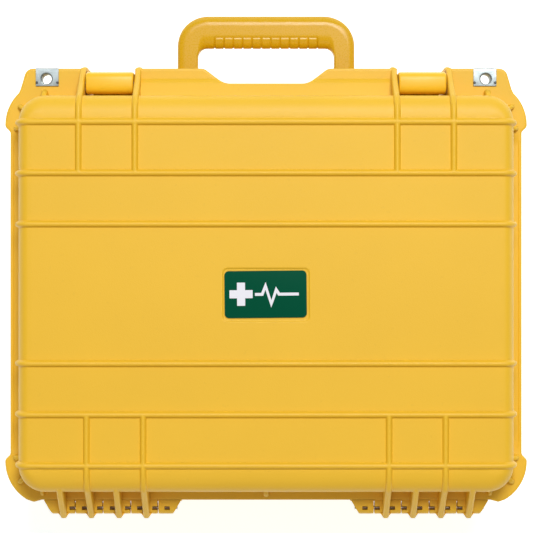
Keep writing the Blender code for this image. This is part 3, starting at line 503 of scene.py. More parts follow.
def object_noise(tree, scale, detail=3.0, stretch=None):
    """Noise on Object coordinates, scale in bumps to the metre."""
    place = add_node(tree, "ShaderNodeTexCoord")
    noise = add_node(tree, "ShaderNodeTexNoise", Scale=scale, Detail=detail)
    source = place.outputs["Object"]
    if stretch:
        mapping = add_node(tree, "ShaderNodeMapping", Scale=stretch)
        tree.links.new(source, mapping.inputs["Vector"])
        source = mapping.outputs["Vector"]
    tree.links.new(source, noise.inputs["Vector"])
    return noise.outputs["Fac"]


def spread(tree, value, low, high, start=0.3, end=0.7):
    """A value remapped from start..end to low..high."""
    ends = {"From_Min": start, "From_Max": end, "To_Min": low, "To_Max": high}
    node = add_node(tree, "ShaderNodeMapRange", **ends)
    tree.links.new(value, node.inputs["Value"])
    return node.outputs["Result"]


def blend_colours(tree, share, first, second):
    """The mix of two colours, each a socket or plain numbers."""
    node = add_node(tree, "ShaderNodeMix", _data_type="RGBA")
    tree.links.new(share, node.inputs["Factor"])
    for socket, colour in ((node.inputs["A"], first), (node.inputs["B"], second)):
        if isinstance(colour, bpy.types.NodeSocket):
            tree.links.new(colour, socket)
        else:
            socket.default_value = (*colour, 1.0)
    return node.outputs["Result"]


def add_bump(tree, shader, height, depth, strength=1.0):
    """Surface relief of depth metres from a height between 0 and 1."""
    bump = add_node(tree, "ShaderNodeBump", Strength=strength, Distance=depth)
    tree.links.new(height, bump.inputs["Height"])
    tree.links.new(bump.outputs["Normal"], shader.inputs["Normal"])


def scaled(colour, share):
    return tuple(channel * share for channel in colour)


def moulded_plastic(name, colour, roughness=0.5, grain=1100.0, depth=0.0001, specks=0.07, gloss=0.5):
    """Injection-moulded plastic: fine grain, slight clouding of its colour, and a few dark specks."""
    tree, shader = new_finish(name, colour, roughness)
    shader.inputs["Specular IOR Level"].default_value = gloss
    clouds = spread(tree, object_noise(tree, 14.0, 2.0), 0.0, 1.0)
    cloudy = blend_colours(tree, clouds, scaled(colour, 0.985), scaled(colour, 1.012))
    dust = spread(tree, object_noise(tree, 260.0, 1.0), 0.0, specks, 0.72, 0.76)
    speckled = blend_colours(tree, dust, cloudy, scaled(colour, 0.55))
    tree.links.new(speckled, shader.inputs["Base Color"])
    fine = object_noise(tree, grain, 3.0)
    tree.links.new(spread(tree, fine, roughness - 0.06, roughness + 0.08), shader.inputs["Roughness"])
    add_bump(tree, shader, fine, depth)


def brushed_metal(name, colour, roughness=0.32, stretch=(1.0, 24.0, 24.0)):
    """Metal with fine lines along X and a few smudges."""
    tree, shader = new_finish(name, colour, roughness, 1.0)
    lines = object_noise(tree, 160.0, 4.0, stretch)
    smudges = object_noise(tree, 60.0, 3.0)
    tinted = blend_colours(tree, spread(tree, smudges, 0.0, 1.0), scaled(colour, 0.82), colour)
    tree.links.new(tinted, shader.inputs["Base Color"])
    tree.links.new(spread(tree, lines, roughness - 0.1, roughness + 0.14), shader.inputs["Roughness"])
    add_bump(tree, shader, lines, 0.00002)


def foam_finish(name, colour):
    """Open-celled foam: small pits from a cell pattern over slow clouding, and no gloss."""
    tree, shader = new_finish(name, colour, 0.95)
    shader.inputs["Specular IOR Level"].default_value = 0.1
    place = add_node(tree, "ShaderNodeTexCoord")
    cells = add_node(tree, "ShaderNodeTexVoronoi", Scale=520.0)
    tree.links.new(place.outputs["Object"], cells.inputs["Vector"])
    pits = spread(tree, cells.outputs["Distance"], 0.0, 1.0, 0.1, 0.7)
    shaded = blend_colours(tree, pits, scaled(colour, 1.7), scaled(colour, 0.6))
    clouds = spread(tree, object_noise(tree, 30.0, 2.0), 0.0, 0.4)
    clouded = blend_colours(tree, clouds, shaded, scaled(colour, 1.5))
    tree.links.new(clouded, shader.inputs["Base Color"])
    add_bump(tree, shader, cells.outputs["Distance"], 0.0005, 0.8)


# --- settings


def colour_setting(name, description, default):
    return bpy.props.FloatVectorProperty(
        name=name, description=description, default=default, subtype="COLOR", size=3, min=0, max=1
    )


class RescueBoxSettings(bpy.types.PropertyGroup):
    """Sizes and colours that change the look but no solid."""

    body_colour: colour_setting("Body", "Colour of the moulded halves", (0.80, 0.475, 0.018))
    trim_colour: colour_setting("Trim", "Colour of the carrying handle", (0.65, 0.365, 0.004))
    label_colour: colour_setting("Label", "Colour of the lid's label", (0.0, 0.074, 0.036))
    rib_height: bpy.props.FloatProperty(
        name="Rib height", description="How far the ribs stand out, in millimetres",
        default=RIB_HEIGHT, min=1, max=RIB_HEIGHT,
    )
    camera_height: bpy.props.FloatProperty(
        name="Camera height", description="Camera's distance over the parting line",
        default=1.65, min=0.5, unit="LENGTH",
    )


def settings():
    return bpy.context.scene.rescue_box


class RESCUE_OT_finishes(bpy.types.Operator):
    """Makes the materials that the pieces share"""

    bl_idname = "rescue_box.finishes"
    bl_label = "Finishes"

    def execute(self, context):
        chosen = settings()
        colours = (chosen.body_colour, chosen.trim_colour, chosen.label_colour)
        body, trim, label = (tuple(colour) for colour in colours)
        plastics = (  # name, colour, roughness, grain, depth, specks, gloss
            ("Body plastic", body),
            ("Trim plastic", trim, 0.28, 700.0, 0.00004, 0.07, 0.32),
            ("Latch plastic", scaled(body, 1.1), 0.4, 700.0, 0.00004, 0.07, 0.4),
            ("Label film", label, 0.5, 500.0, 0.00003, 0.05, 0.04),
            ("White print", (0.78, 0.79, 0.86), 0.35, 600.0, 0.00002, 0.03),
            ("Dark plastic", (0.05, 0.055, 0.06), 0.45, 900.0, 0.0001, 0.05),
            ("Pale plastic", (0.66, 0.68, 0.69), 0.42, 900.0, 0.0001, 0.08),
            ("Seal rubber", (0.02, 0.02, 0.021), 0.75, 500.0, 0.0001, 0.0),
            ("Orange key", (0.85, 0.2, 0.02), 0.3, 600.0, 0.00004, 0.0),
            ("Green key", (0.02, 0.36, 0.1), 0.35, 600.0, 0.00004, 0.0),
            ("Board", (0.01, 0.13, 0.05), 0.4, 300.0, 0.00004, 0.0),
            ("Gel pad", (0.75, 0.77, 0.8), 0.5, 300.0, 0.0001, 0.0),
            ("Clear window", (0.16, 0.5, 0.24), 0.1, 200.0, 0.00001, 0.0),
        )
        for plastic in plastics:
            moulded_plastic(*plastic)
        brushed_metal("Pouch foil", (0.72, 0.73, 0.75), 0.38, (6.0, 6.0, 6.0))
        brushed_metal("Stainless steel", (0.35, 0.40, 0.41), 0.42)
        brushed_metal("Pin steel", (0.45, 0.42, 0.4), 0.4)
        brushed_metal("Dark steel", (0.1, 0.1, 0.11), 0.5)
        foam_finish("Foam", (0.035, 0.036, 0.04))
        return {"FINISHED"}


# --- lid


LABEL_HALF = (38.4, 23.6)
LABEL_CORNER = 4.5
RECESS_DEPTH = 1.0
RECESS_SHIFT = 0.9
RECESS_EDGE = 1.7


def recess_relief(x, y):
    """The label's shallow recess: its depth follows the distance to a rounded rectangle."""
    over_x = np.abs(x) - LABEL_HALF[0] + LABEL_CORNER
    over_y = np.abs(y - RECESS_SHIFT) - LABEL_HALF[1] + LABEL_CORNER
    outside = np.hypot(np.maximum(over_x, 0), np.maximum(over_y, 0))
    distance = outside + np.minimum(np.maximum(over_x, over_y), 0) - LABEL_CORNER
    share = np.clip(0.5 - distance / RECESS_EDGE, 0, 1)
    return -RECESS_DEPTH * share * share * (3 - 2 * share)


class RESCUE_OT_lid(bpy.types.Operator):
    """Builds the lid's ribbed skin with its lining"""

    bl_idname = "rescue_box.lid"
    bl_label = "Lid"

    def execute(self, context):
        height = settings().rib_height

        def relief(x, y):
            return rib_relief(x, y, height) + recess_relief(x, y)

        near = np.concatenate((np.arange(-6, -1.2, 1.0), np.arange(-1.0, 1.01, 0.25)))
        extra_x = [side * (LABEL_HALF[0] + step) for step in near for side in (-1, 1)]
        extra_y = [side * (LABEL_HALF[1] + step) + RECESS_SHIFT for step in near for side in (-1, 1)]
        extra_x += list(np.linspace(-95, 95, 17)) + [0]
        extra_y += list(np.linspace(-48, 48, 7))
        surface = shell_surface(LID_OUTSIDE, LID_INSIDE, relief, extra_x, extra_y)
        piece("lid_skin", [surface], "Body plastic", "lid_shell")
        return {"FINISHED"}


# --- flange and rims

FLANGE_FRONT, FLANGE_BACK, FLANGE_FLAT = 204.8, 188.4, 233.0
NOTCH_FLOOR, NOTCH_HALF, NOTCH_MOUTH = 190.6, 38.0, 56.4
SLOPE_FRONT = 212.0
BUMPER_MIDDLE = (BODY_X - CORNER, BODY_Y - CORNER)
BUMPER_R = 40.3
CHANNEL_DEPTH = 0.9
EYE_X, EYE_Y = 200.0, -195.2
EYE_TUBE = 5.6


def bumper_arc(first, last, side_y):
    """Points of a corner bumper's arc, given in degrees from the X axis."""
    angles = np.radians(np.arange(first, last, math.copysign(5.0, last - first)))
    x = BUMPER_MIDDLE[0] + BUMPER_R * np.cos(angles)
    y = side_y * (BUMPER_MIDDLE[1] + BUMPER_R * np.sin(angles))
    return [(a, b, 0.0) for a, b in zip(x.tolist(), y.tolist())]


def flange_line():
    """The flange in plan: hand notch, padlock tabs, corner bumpers with small steps, straight sides."""
    half = [(NOTCH_HALF, -NOTCH_FLOOR, 16.0), (NOTCH_MOUTH, -FLANGE_FRONT, 9.0)]
    half += [(218.3, -FLANGE_FRONT, 8.0), (223.8, -186.2, 7.0), *bumper_arc(46, 3, -1)]
    half += [(237.9, -151.8, 4.2), (FLANGE_FLAT, -146.8, 3.6)]
    half += [(FLANGE_FLAT, 146.8, 3.6), (237.9, 151.8, 4.2), *bumper_arc(4, 64, 1)]
    half += [(211.8, 190.4, 4.0), (204.5, FLANGE_BACK, 4.0)]
    full = half + [(-x, y, radius) for x, y, radius in reversed(half)]
    return anticlockwise(filled_in(rounded_outline(full), 6.0))


def flange_band(face, seam):
    """The flange as loops between the wall and the outline, with a lip round a shallow side channel.

    A loop is either the outline moved inwards by a distance, or the wall's nearest points. The
    channel's depth fades in along the straight sides.
    """
    line = flange_line()
    wall, _ = nearest_on_body(line, -1.5)
    up = 1.0 if face > seam else -1.0
    in_channel = np.clip((146 - np.abs(line[:, 1])) / 6, 0, 1) * (np.abs(line[:, 0]) > 225)
    sunk = CHANNEL_DEPTH * in_channel
    rows = [(wall, face - up * sunk), (inset(line, 3.4), face - up * sunk)]
    rows += [(inset(line, 2.6), face - up * sunk * 0.2), (inset(line, 1.3), face)]
    rows += [(inset(line, 0.4), face - up * 0.35), (line, face - up * 1.2)]
    rows += [(line, seam + up * 0.6), (inset(line, 0.5), seam), (wall, seam)]
    return lofted(rows, looped=True)


def eye_holes(low, high):
    return [cutter(circle((side * EYE_X, EYE_Y), EYE_TUBE), "Z", low, high) for side in (-1, 1)]


def latch_gaps(low, high):
    """The openings in the flange that the latches drop into."""
    inner, outer = FRONT_RIBS[0] + RIB_WIDTH / 2, FRONT_RIBS[1] - RIB_WIDTH / 2
    first = box_cutter((inner, -230, low), (outer, -BODY_Y - 1.2, high))
    return [first, *mirrored([first])]


def front_slope():
    """The profile in Y and Z, between the latches, of the rounded step and slope up to the wall."""
    face = LID_RIM + FLANGE
    corners = [(-196.5, face - 0.6, 0), (-195.4, face, 3), (-191.6, face + 3.3, 3)]
    corners += [(-178.4, face + 8.4, 6), (-174.0, face + 9.0, 0)]
    corners += [(-174.0, face - 4.0, 0), (-196.5, face - 4.0, 0)]
    return rounded_outline(corners, 6.0)


def notch_cutter(low, high):
    """The hand notch's plan, so that the slope ends where the flange does."""
    slant = (NOTCH_MOUTH - NOTCH_HALF) / (FLANGE_FRONT - NOTCH_FLOOR)
    reach = NOTCH_HALF + slant * (SLOPE_FRONT - NOTCH_FLOOR)
    corners = [(-NOTCH_HALF, -NOTCH_FLOOR, 16.0), (NOTCH_HALF, -NOTCH_FLOOR, 16.0)]
    corners += [(reach, -SLOPE_FRONT, 0), (-reach, -SLOPE_FRONT, 0)]
    return cutter(rounded_outline(corners), "Z", low, high)


GUSSETS = (  # x, y, way out in degrees, half width, reach, rise
    (201.5, -176.5, 270, 3.5, 9.0, 12.5),
    (217.8, -166.2, 328, 2.6, 9.5, 9.0),
    (220.4, -150.0, 0, 2.6, 9.5, 9.0),
    (203.6, 176.5, 90, 2.6, 8.0, 8.5),
    (218.2, 166.8, 41, 3.0, 9.8, 8.5),
    (220.4, 149.8, 0, 3.0, 10.0, 8.5),
)
MIDDLE_GUSSET = (0.0, 176.5, 90, 3.0, 9.0, 9.0)


def gusset(x, y, degrees, half_width, reach, rise, face, up):
    """A small rib from wall to flange: a plan with a round nose that shrinks as it goes up the wall."""
    angle = math.radians(degrees)
    along = np.array((math.cos(angle), math.sin(angle)))
    across = np.array((-along[1], along[0]))
    angles = np.radians(np.arange(-90, 91, 22.5))
    rows = []
    for lift in (0.0, 0.12, 0.3, 0.5, 0.7, 0.86, 0.96, 1.0):
        width = half_width * (1 - 0.45 * lift)
        nose = reach * (1 - lift**3) - width
        out = np.concatenate(([-3.0], nose + width * np.cos(angles), [-3.0]))
        side = np.concatenate(([-width], width * np.sin(angles), [width]))
        plan = np.array((x, y)) + np.maximum(out, -3.0)[:, None] * along + side[:, None] * across
        rows.append((plan, face + up * lift * rise))
    return lofted(rows)


GROOVE_IN, GROOVE_OUT, GROOVE_DEPTH = -6.8, -1.7, 4.6
GROOVE_MIDDLE = (GROOVE_IN + GROOVE_OUT) / 2
RIM_BACK = [(-8.5, 0.0), (-8.5, 7.0), (-3.0, 13.0), (-0.8, 13.0)]


def lid_rim():
    """The thick rim with the seal's groove."""
    section = [(-0.8, 0.0), (GROOVE_OUT, 0.0), (GROOVE_OUT, GROOVE_DEPTH), (GROOVE_IN, GROOVE_DEPTH)]
    section += [(GROOVE_IN, 0.0), *RIM_BACK]
    return ring_round_body([(offset, LID_RIM + z) for offset, z in section])


def base_rim():
    """The thick rim with the tongue that presses on the seal."""
    tongue = [(1.0, 0.0), (0.7, -1.5), (-0.7, -1.5), (-1.0, 0.0)]
    section = [(-0.8, 0.0), *((GROOVE_MIDDLE + across, z) for across, z in tongue), *RIM_BACK]
    return ring_round_body([(offset, BASE_RIM - z) for offset, z in section])


# --- hinges and ears

KNUCKLE_R = 5.6
HINGE_ENDS = (77.6, 202.6)
KNUCKLE_WIDTH = 13.0
KNUCKLE_GAP = 0.8
WINDOW_LONG, WINDOW_HALF = 4.8, 1.75
LAST_WINDOW = 87.9


def rib_slab(outline, middle, edge=2.2):
    """A rib's outline in Y and Z, as thick as a rib, with well rounded edges."""
    return slab(filled_in(outline, 8), "X", middle - RIB_WIDTH / 2, middle + RIB_WIDTH / 2, edge, 5)


def crest(degrees, front):
    """A point on a rib's crest over the lid's round edge, and a little inside it."""
    angle = math.radians(degrees)
    rounds_y, rounds_z = LID_ROUNDS[1:]
    away = unit(np.array((math.cos(angle) / rounds_y, math.sin(angle) / rounds_z)))
    away = away * (RIB_HEIGHT - 0.15)
    y = BODY_Y - rounds_y * (1 - math.cos(angle)) + away[0]
    return -y if front else y, LID_FACE - rounds_z * (1 - math.sin(angle)) + away[1], 0


def hinge_web(middle, short):
    """The outer part of a rear rib, down to its tip over the hinge. A short one starts at the edge."""
    if short:
        corners = [(169.5, 137, 0), (169.5, 175.6, 0), (175.3, 175.9, 2.5)]
    else:
        corners = [(165.0, 137, 0), crest(60, False), crest(48, False), crest(36, False)]
    corners += [(186, 164.5, 30), (199, 148, 30), (205.3, 140, 4), (206.0, 134.5, 3)]
    corners += [(199.0, 129.0, 3), (193.5, 137, 2)]
    return rib_slab(rounded_outline(corners), middle)


def rib_flare(middle):
    """A low wedge that widens a rear rib where it passes the hinge's barrels."""
    near, tip = HINGE[1] + KNUCKLE_R - 1.2, HINGE[1] + KNUCKLE_R + 2.9
    wide, narrow = RIB_WIDTH / 2 + 2.4, RIB_WIDTH / 2 - 0.6
    outline = [(middle - wide, near, 0), (middle + wide, near, 0)]
    outline += [(middle + narrow, tip, 2), (middle - narrow, tip, 2)]
    return slab(rounded_outline(outline), "Z", HINGE[2] - 3.0, HINGE[2] + 4.4, 0.5, 2)


def latch_ear(middle):
    """The outer part of a front rib: a straight slope from the crest to the flange's edge."""
    corners = [(-165.0, 136, 0), crest(60, True), crest(48, True), crest(36, True), (-190.0, 158.5, 25)]
    corners += [(-200.0, 146.5, 25), (-205.7, 139.5, 4), (-206.3, 135.4, 2), (-203, 134.6, 0)]
    return rib_slab(rounded_outline(corners), middle)


def knuckle_stretches():
    """X stretches on the +X side: the lid's knuckles, the base's, and the windows in both."""
    lid, base, windows = [], [], []
    edge = HINGE_ENDS[1]
    for rib in sorted((*BACK_RIBS, *SHORT_RIBS), reverse=True):
        outer = rib + RIB_WIDTH / 2
        inner = outer - KNUCKLE_WIDTH
        base.append((outer + KNUCKLE_GAP, edge))
        lid.append((inner, outer))
        windows.append((inner - 0.2, inner + WINDOW_LONG))
        if edge < HINGE_ENDS[1]:
            windows.append((outer + KNUCKLE_GAP - 0.5, outer + KNUCKLE_GAP + WINDOW_LONG))
        edge = inner - KNUCKLE_GAP
    base.append((HINGE_ENDS[0], edge))
    windows.append((LAST_WINDOW, LAST_WINDOW + WINDOW_LONG))
    return lid, base, windows


def knuckle(stretch, lid, slant_low=0.0, slant_high=0.0):
    """A half-round barrel with its web to the flange; an end may slant away from the box."""
    y, z = HINGE[1:]
    angles = np.radians(np.arange(-90, 91, 12))
    arc = np.stack((y + KNUCKLE_R * np.cos(angles), z + KNUCKLE_R * np.sin(angles)), -1)
    if lid:
        back = [(y - 9, z + 5.6), (y - 9, z + 0.5), (y - 5.3, z + 0.5), (y - 4.2, z - 3.6)]
    else:
        back = [(y - 4.2, z + 3.6), (y - 5.3, z - 0.5), (y - 9, z - 0.5), (y - 9, z - 5.6)]
        arc = np.concatenate((arc, [(y - 7.5, z + KNUCKLE_R), (y - 7.5, z + 0.9)]))
        back = [(y - 7.5, z + 0.3), *back[2:]]
    points, faces = slab(np.concatenate((arc, back)), "X", *stretch, 0.5, 2)
    beyond = np.maximum(points[:, 1] - (y - 6.9), 0)
    middle = sum(stretch) / 2
    points[:, 0] -= np.where(points[:, 0] > middle, slant_high * beyond, -slant_low * beyond)
    return points, faces


def window_cutters(windows):
    """Boxes that open the barrels from above, on both sides of the middle."""
    (near, far), (foot, head) = HINGE[1] + np.array((-1, 1)) * WINDOW_HALF, HINGE[2] + np.array((-2.6, 9))
    half = [box_cutter((low, near, foot), (high, far, head)) for low, high in windows]
    return half + mirrored(half)


def lid_ribs():
    """The ribs' ends, ears and gussets that are moulded with the lid."""
    half = [hinge_web(rib, False) for rib in BACK_RIBS] + [hinge_web(rib, True) for rib in SHORT_RIBS]
    half += [rib_flare(rib) for rib in (*BACK_RIBS, *SHORT_RIBS)]
    half += [latch_ear(rib) for rib in FRONT_RIBS]
    foot = LID_RIM + FLANGE - 0.5
    half += [gusset(*place, foot, 1.0) for place in GUSSETS]
    return half + mirrored(half) + [gusset(*MIDDLE_GUSSET, foot, 1.0)]


def flange_cutters(low, high):
    return eye_holes(low, high) + latch_gaps(low, high)


class RESCUE_OT_lid_edge(bpy.types.Operator):
    """Builds the lid's flange, rim, ribs' ends, ears and hinge knuckles"""

    bl_idname = "rescue_box.lid_edge"
    bl_label = "Lid edge"

    def execute(self, context):
        face = LID_RIM + FLANGE
        band = piece("lid_flange", [flange_band(face, LID_RIM)], "Body plastic", "lid_shell")
        cut_away(band, flange_cutters(LID_RIM - 5, face + 5))
        half_width = FRONT_RIBS[0] - RIB_WIDTH / 2 + 0.5
        slope = slab(front_slope(), "X", -half_width, half_width, 0.1, 1)
        slope = piece("lid_front_slope", [slope], "Body plastic", "lid_shell", 50)
        cut_away(slope, [notch_cutter(LID_RIM - 5, face + 20)])
        piece("lid_rim", [lid_rim()], "Body plastic", "lid_shell")
        piece("lid_ribs", lid_ribs(), "Body plastic", "lid_shell")
        lid, _, windows = knuckle_stretches()
        half = [knuckle(stretch, True) for stretch in lid]
        barrels = piece("lid_knuckles", half + mirrored(half), "Body plastic", "lid_shell")
        cut_away(barrels, window_cutters(windows))
        return {"FINISHED"}


# --- base


HANDLE_LUGS = ((57.3, 62.9), (82.4, 88.0))
LATCH_MIDDLE = sum(FRONT_RIBS) / 2
OUTER_SLANT = 0.6


def latch_guard(middle):
    """A wall in Y and Z beside a latch, as thick as a rib."""
    corners = [(-170.5, 131, 0), (-204.5, 131, 3), (-208, 125, 6)]
    corners += [(-208, 84, 10), (-201, 72, 12), (-170.5, 61, 0)]
    return rib_slab(rounded_outline(corners), middle)


def handle_lug(low, high):
    """A lug in Y and Z that holds one end of a handle's pin."""
    corners = [(-171.5, 130, 0), (-192, 130, 3), (-198, 119, 8)]
    corners += [(-198.2, 106, 7), (-189, 102.5, 8), (-171.5, 95, 0)]
    return slab(rounded_outline(corners), "X", low, high, 1.0)


def hinge_apron():
    """A strip under the flange along a hinge, which closes the view down between the knuckles."""
    return block((HINGE_ENDS[0] - 0.5, 186.5, 121.5), (HINGE_ENDS[1] + 0.5, 191.2, 127.6), 1.0)


def latch_ledge():
    """The ledge in Y and Z that the latch's lever stops at."""
    corners = [(-170.5, 109, 0), (-185, 109, 1.5), (-187.3, 106.5, 1.5)]
    corners += [(-187.3, 99.5, 1.5), (-185, 97, 2), (-170.5, 92, 0)]
    return slab(rounded_outline(corners), "X", LATCH_MIDDLE - 19, LATCH_MIDDLE + 19, 0.7)


class RESCUE_OT_base(bpy.types.Operator):
    """Builds the base's skin, flange, rim, guards, lugs and hinge knuckles"""

    bl_idname = "rescue_box.base"
    bl_label = "Base"

    def execute(self, context):
        height = settings().rib_height

        def relief(x, y):
            return rib_relief(x, y, height)

        extra_x, extra_y = np.linspace(-95, 95, 13), np.linspace(-48, 48, 7)
        skin = shell_surface(BASE_OUTSIDE, BASE_INSIDE, relief, extra_x, extra_y)
        piece("base_skin", [skin], "Body plastic", "base_shell")
        face = BASE_RIM - FLANGE
        band = piece("base_flange", [flange_band(face, BASE_RIM)], "Body plastic", "base_shell")
        cut_away(band, flange_cutters(face - 5, BASE_RIM + 5))
        piece("base_rim", [base_rim()], "Body plastic", "base_shell")
        half = [latch_guard(rib) for rib in FRONT_RIBS] + [latch_ledge(), hinge_apron()]
        half += [handle_lug(low, high) for low, high in HANDLE_LUGS]
        half += [gusset(*place, face + 0.5, -1.0) for place in GUSSETS]
        piece("base_guards", half + mirrored(half), "Body plastic", "base_shell")
        _, base, windows = knuckle_stretches()
        slants = [[0.0, 0.0] for _ in base]
        slants[-1][0] = slants[0][1] = OUTER_SLANT
        half = [knuckle(stretch, False, *slant) for stretch, slant in zip(base, slants)]
        barrels = piece("base_knuckles", half + mirrored(half), "Body plastic", "base_shell")
        cut_away(barrels, window_cutters(windows))
        return {"FINISHED"}


# --- handle

HANDLE_OUT, HANDLE_IN = (81.6, 28.0), (62.9, 8.5)
GRIP_OUT, GRIP_IN = -255.7, -226.1
HANDLE_HALF_THICK = 8.0
FINGER_PITCH = 8.52
FINGER_COUNT = 11
FINGER_DEPTH = 0.95
FINGER_START = 0.675


def handle_edges():
    """Matching points on the handle's outer and inner edges, from one leg's end round to the other's.

    Each edge is a leg, a quarter circle and half the grip, and then the same again mirrored.
    """
    halves = []
    for (side, radius), across in ((HANDLE_OUT, GRIP_OUT), (HANDLE_IN, GRIP_IN)):
        leg = np.linspace(HANDLE[1] + HANDLE_HALF_THICK - 0.3, across + radius, 26)
        angles = np.linspace(0, math.pi / 2, 15)[1:]
        arc_x, arc_y = side - radius + radius * np.cos(angles), across + radius - radius * np.sin(angles)
        arc = np.stack((arc_x, arc_y), -1)
        grip = np.linspace(side - radius, 0, 121)[1:]
        leg = np.stack((np.full_like(leg, side), leg), -1)
        grip = np.stack((grip, np.full_like(grip, across)), -1)
        half = np.concatenate((leg, arc, grip))
        halves.append(np.concatenate((half, (half[:-1] * (-1, 1))[::-1])))
    return halves


def handle_surface():
    """The handle: a section of two different rounded edges, blended from leg to grip along its path.

    Round the section, w runs from the outer edge to the inner one and z from the middle to the top,
    then back underneath. The finger blocks sink in narrow grooves on the grip's inner side.
    """
    outer, inner = handle_edges()
    width = np.linalg.norm(inner - outer, axis=1)
    direction = (inner - outer) / width[:, None]
    on_grip = np.clip((HANDLE_OUT[0] - 0.5 - np.abs(outer[:, 0])) / 19, 0, 1)
    on_grip = on_grip * on_grip * (3 - 2 * on_grip)
    past_pin = np.maximum(outer[:, 1] - HANDLE[1], 0)
    half = np.sqrt(np.maximum(HANDLE_HALF_THICK**2 - past_pin**2, 0.1))
    thinned = np.minimum(half / HANDLE_HALF_THICK, 1)
    bevel = 2.4 + 3.2 * on_grip
    round_in = 1.8 + 9.8 * on_grip
    section = []
    for angle in np.linspace(0, math.pi / 2, 7):
        w = bevel * (1 - math.cos(angle) ** 1.75)
        section.append((w, half - (2.4 + 2.6 * on_grip) * thinned * (1 - math.sin(angle) ** 1.75)))
    for share in (0.3, 0.6, 0.85):
        section.append((bevel + (width - round_in - bevel) * share, half))
    for angle in np.linspace(math.pi / 2, 0, 16):
        w = width - round_in * (1 - math.cos(angle))
        section.append((w, half - (1.8 + 5.4 * on_grip) * thinned * (1 - math.sin(angle))))
    w, z = (np.stack(rows, 1) for rows in zip(*section))
    along_x = np.abs(outer[:, :1])
    block_start = (GRIP_IN - GRIP_OUT) * FINGER_START
    nearest_line = np.abs((along_x / FINGER_PITCH - 0.5) % 1.0)
    line_gap = np.minimum(nearest_line, 1 - nearest_line) * FINGER_PITCH
    edge_gap = np.abs(w - block_start)
    inside = (along_x < FINGER_PITCH * FINGER_COUNT / 2 + 0.7) & (w > block_start - 0.6)
    inside = inside & (on_grip[:, None] > 0.5)
    groove = np.maximum(np.clip(1.3 - line_gap / 0.6, 0, 1), np.clip(1.3 - edge_gap / 0.6, 0, 1))
    sink = FINGER_DEPTH * groove * inside
    slope = np.clip((w - (width - round_in)[:, None]) / round_in[:, None], 0, 1)
    z = z - sink * np.sqrt(1 - slope**2)
    w = w - sink * slope
    section_w = np.concatenate((w, w[:, ::-1]), 1)
    section_z = np.concatenate((z, -z[:, ::-1]), 1)
    plan = outer[:, None, :] + direction[:, None, :] * section_w[..., None]
    return tube(np.concatenate((plan, HANDLE[2] + section_z[..., None]), -1))


class RESCUE_OT_handle(bpy.types.Operator):
    """Builds the carrying handle with its finger grooves"""

    bl_idname = "rescue_box.handle"
    bl_label = "Handle"

    def execute(self, context):
        piece("handle", [handle_surface()], "Trim plastic", "carry_handle", 40)
        return {"FINISHED"}


# --- latches

BARREL_R = 9.8
BARREL_POWER = 0.64
LATCH_HALF = 21.5
LINK_THICK = 5.0
ARM = 6.0


def ridges(y, heights, radius, low, high):
    """Thin round ridges along X."""
    return [slab(circle((y, z), radius, 12), "X", low, high, 0.5, 2) for z in heights]


def latch_parts(middle):
    """A latch: the link's barrel and plate as one outline along X, its arms, and the lever.

    The barrel's section is a circle squared off by raising its cosine and sine to a power.
    """
    y, z = LATCH[1:]
    ly, lz = LEVER[1:]
    front = ly - 4.5
    low, high = middle - LATCH_HALF, middle + LATCH_HALF
    angles = np.radians(np.arange(-90, 166, 7.5))
    ways = np.stack((np.cos(angles), np.sin(angles)), -1)
    barrel = np.array((y, z)) + BARREL_R * np.sign(ways) * np.abs(ways) ** BARREL_POWER
    back = front + LINK_THICK
    plate = [(front, z), (front, lz + 9), (back, lz + 9), (back, z - BARREL_R - 3)]
    link = [slab(np.concatenate((barrel, plate)), "X", low, high, 1.6, 4)]
    arm = [(front, lz + 12, 0.8), (front, lz, 3), (ly - 2, lz - 5, 3), (ly + 4.5, lz - 4, 3)]
    arm = rounded_outline([*arm, (ly + 4.5, lz + 3, 2), (back, lz + 12, 0.8)])
    link += [slab(arm, "X", low, low + ARM, 0.8), slab(arm, "X", high - ARM, high, 0.8)]
    link += ridges(front + 0.4, (lz + 16, lz + 20, lz + 24), 0.9, low + 6, high - 6)
    hub = [(front, lz - 12, 1), (front, lz + 3, 2), (ly - 3, lz + 4.5, 2), (ly + 3, lz + 4.5, 2)]
    hub += [(-188, lz + 2, 1), (-187.9, lz - 3, 1), (ly + 2, lz - 6, 1), (ly, lz - 12, 0.5)]
    lever = [slab(rounded_outline(hub), "X", low + ARM + 0.4, high - ARM - 0.4, 0.6)]
    foot = lz - 31
    blade = [(front, lz - 6.6, 0.8), (front, foot + 8, 10), (front - 3, foot, 1.2)]
    blade += [(front + 1, foot, 1.5), (front + 4.5, foot + 7, 6), (front + 4.5, lz - 6.6, 0.8)]
    lever.append(slab(rounded_outline(blade), "X", low, high, 1.2, 4))
    lever += ridges(front + 0.35, (foot + 9, foot + 12.5, foot + 16), 0.85, low + 5, high - 5)
    return link, lever


class RESCUE_OT_latches(bpy.types.Operator):
    """Builds both double-throw latches"""

    bl_idname = "rescue_box.latches"
    bl_label = "Latches"

    def execute(self, context):
        for side, word in SIDES:
            link, lever = latch_parts(side * LATCH_MIDDLE)
            piece(f"link_{word}", link, "Latch plastic", f"latch_link_{word}")
            piece(f"lever_{word}", lever, "Latch plastic", f"latch_lever_{word}")
            pins = [f"{pin}_pin_{word}" for pin in ("latch", "lever", "hinge", "handle")]
            finish_nodes("Pin steel", *pins)
        return {"FINISHED"}


# --- padlock eyes

EYE_R = 4.7
PLATE_HALF = 10.4
PLATE_X = 199.3
PLATE_BACK = -188.5
SHEET = 1.0


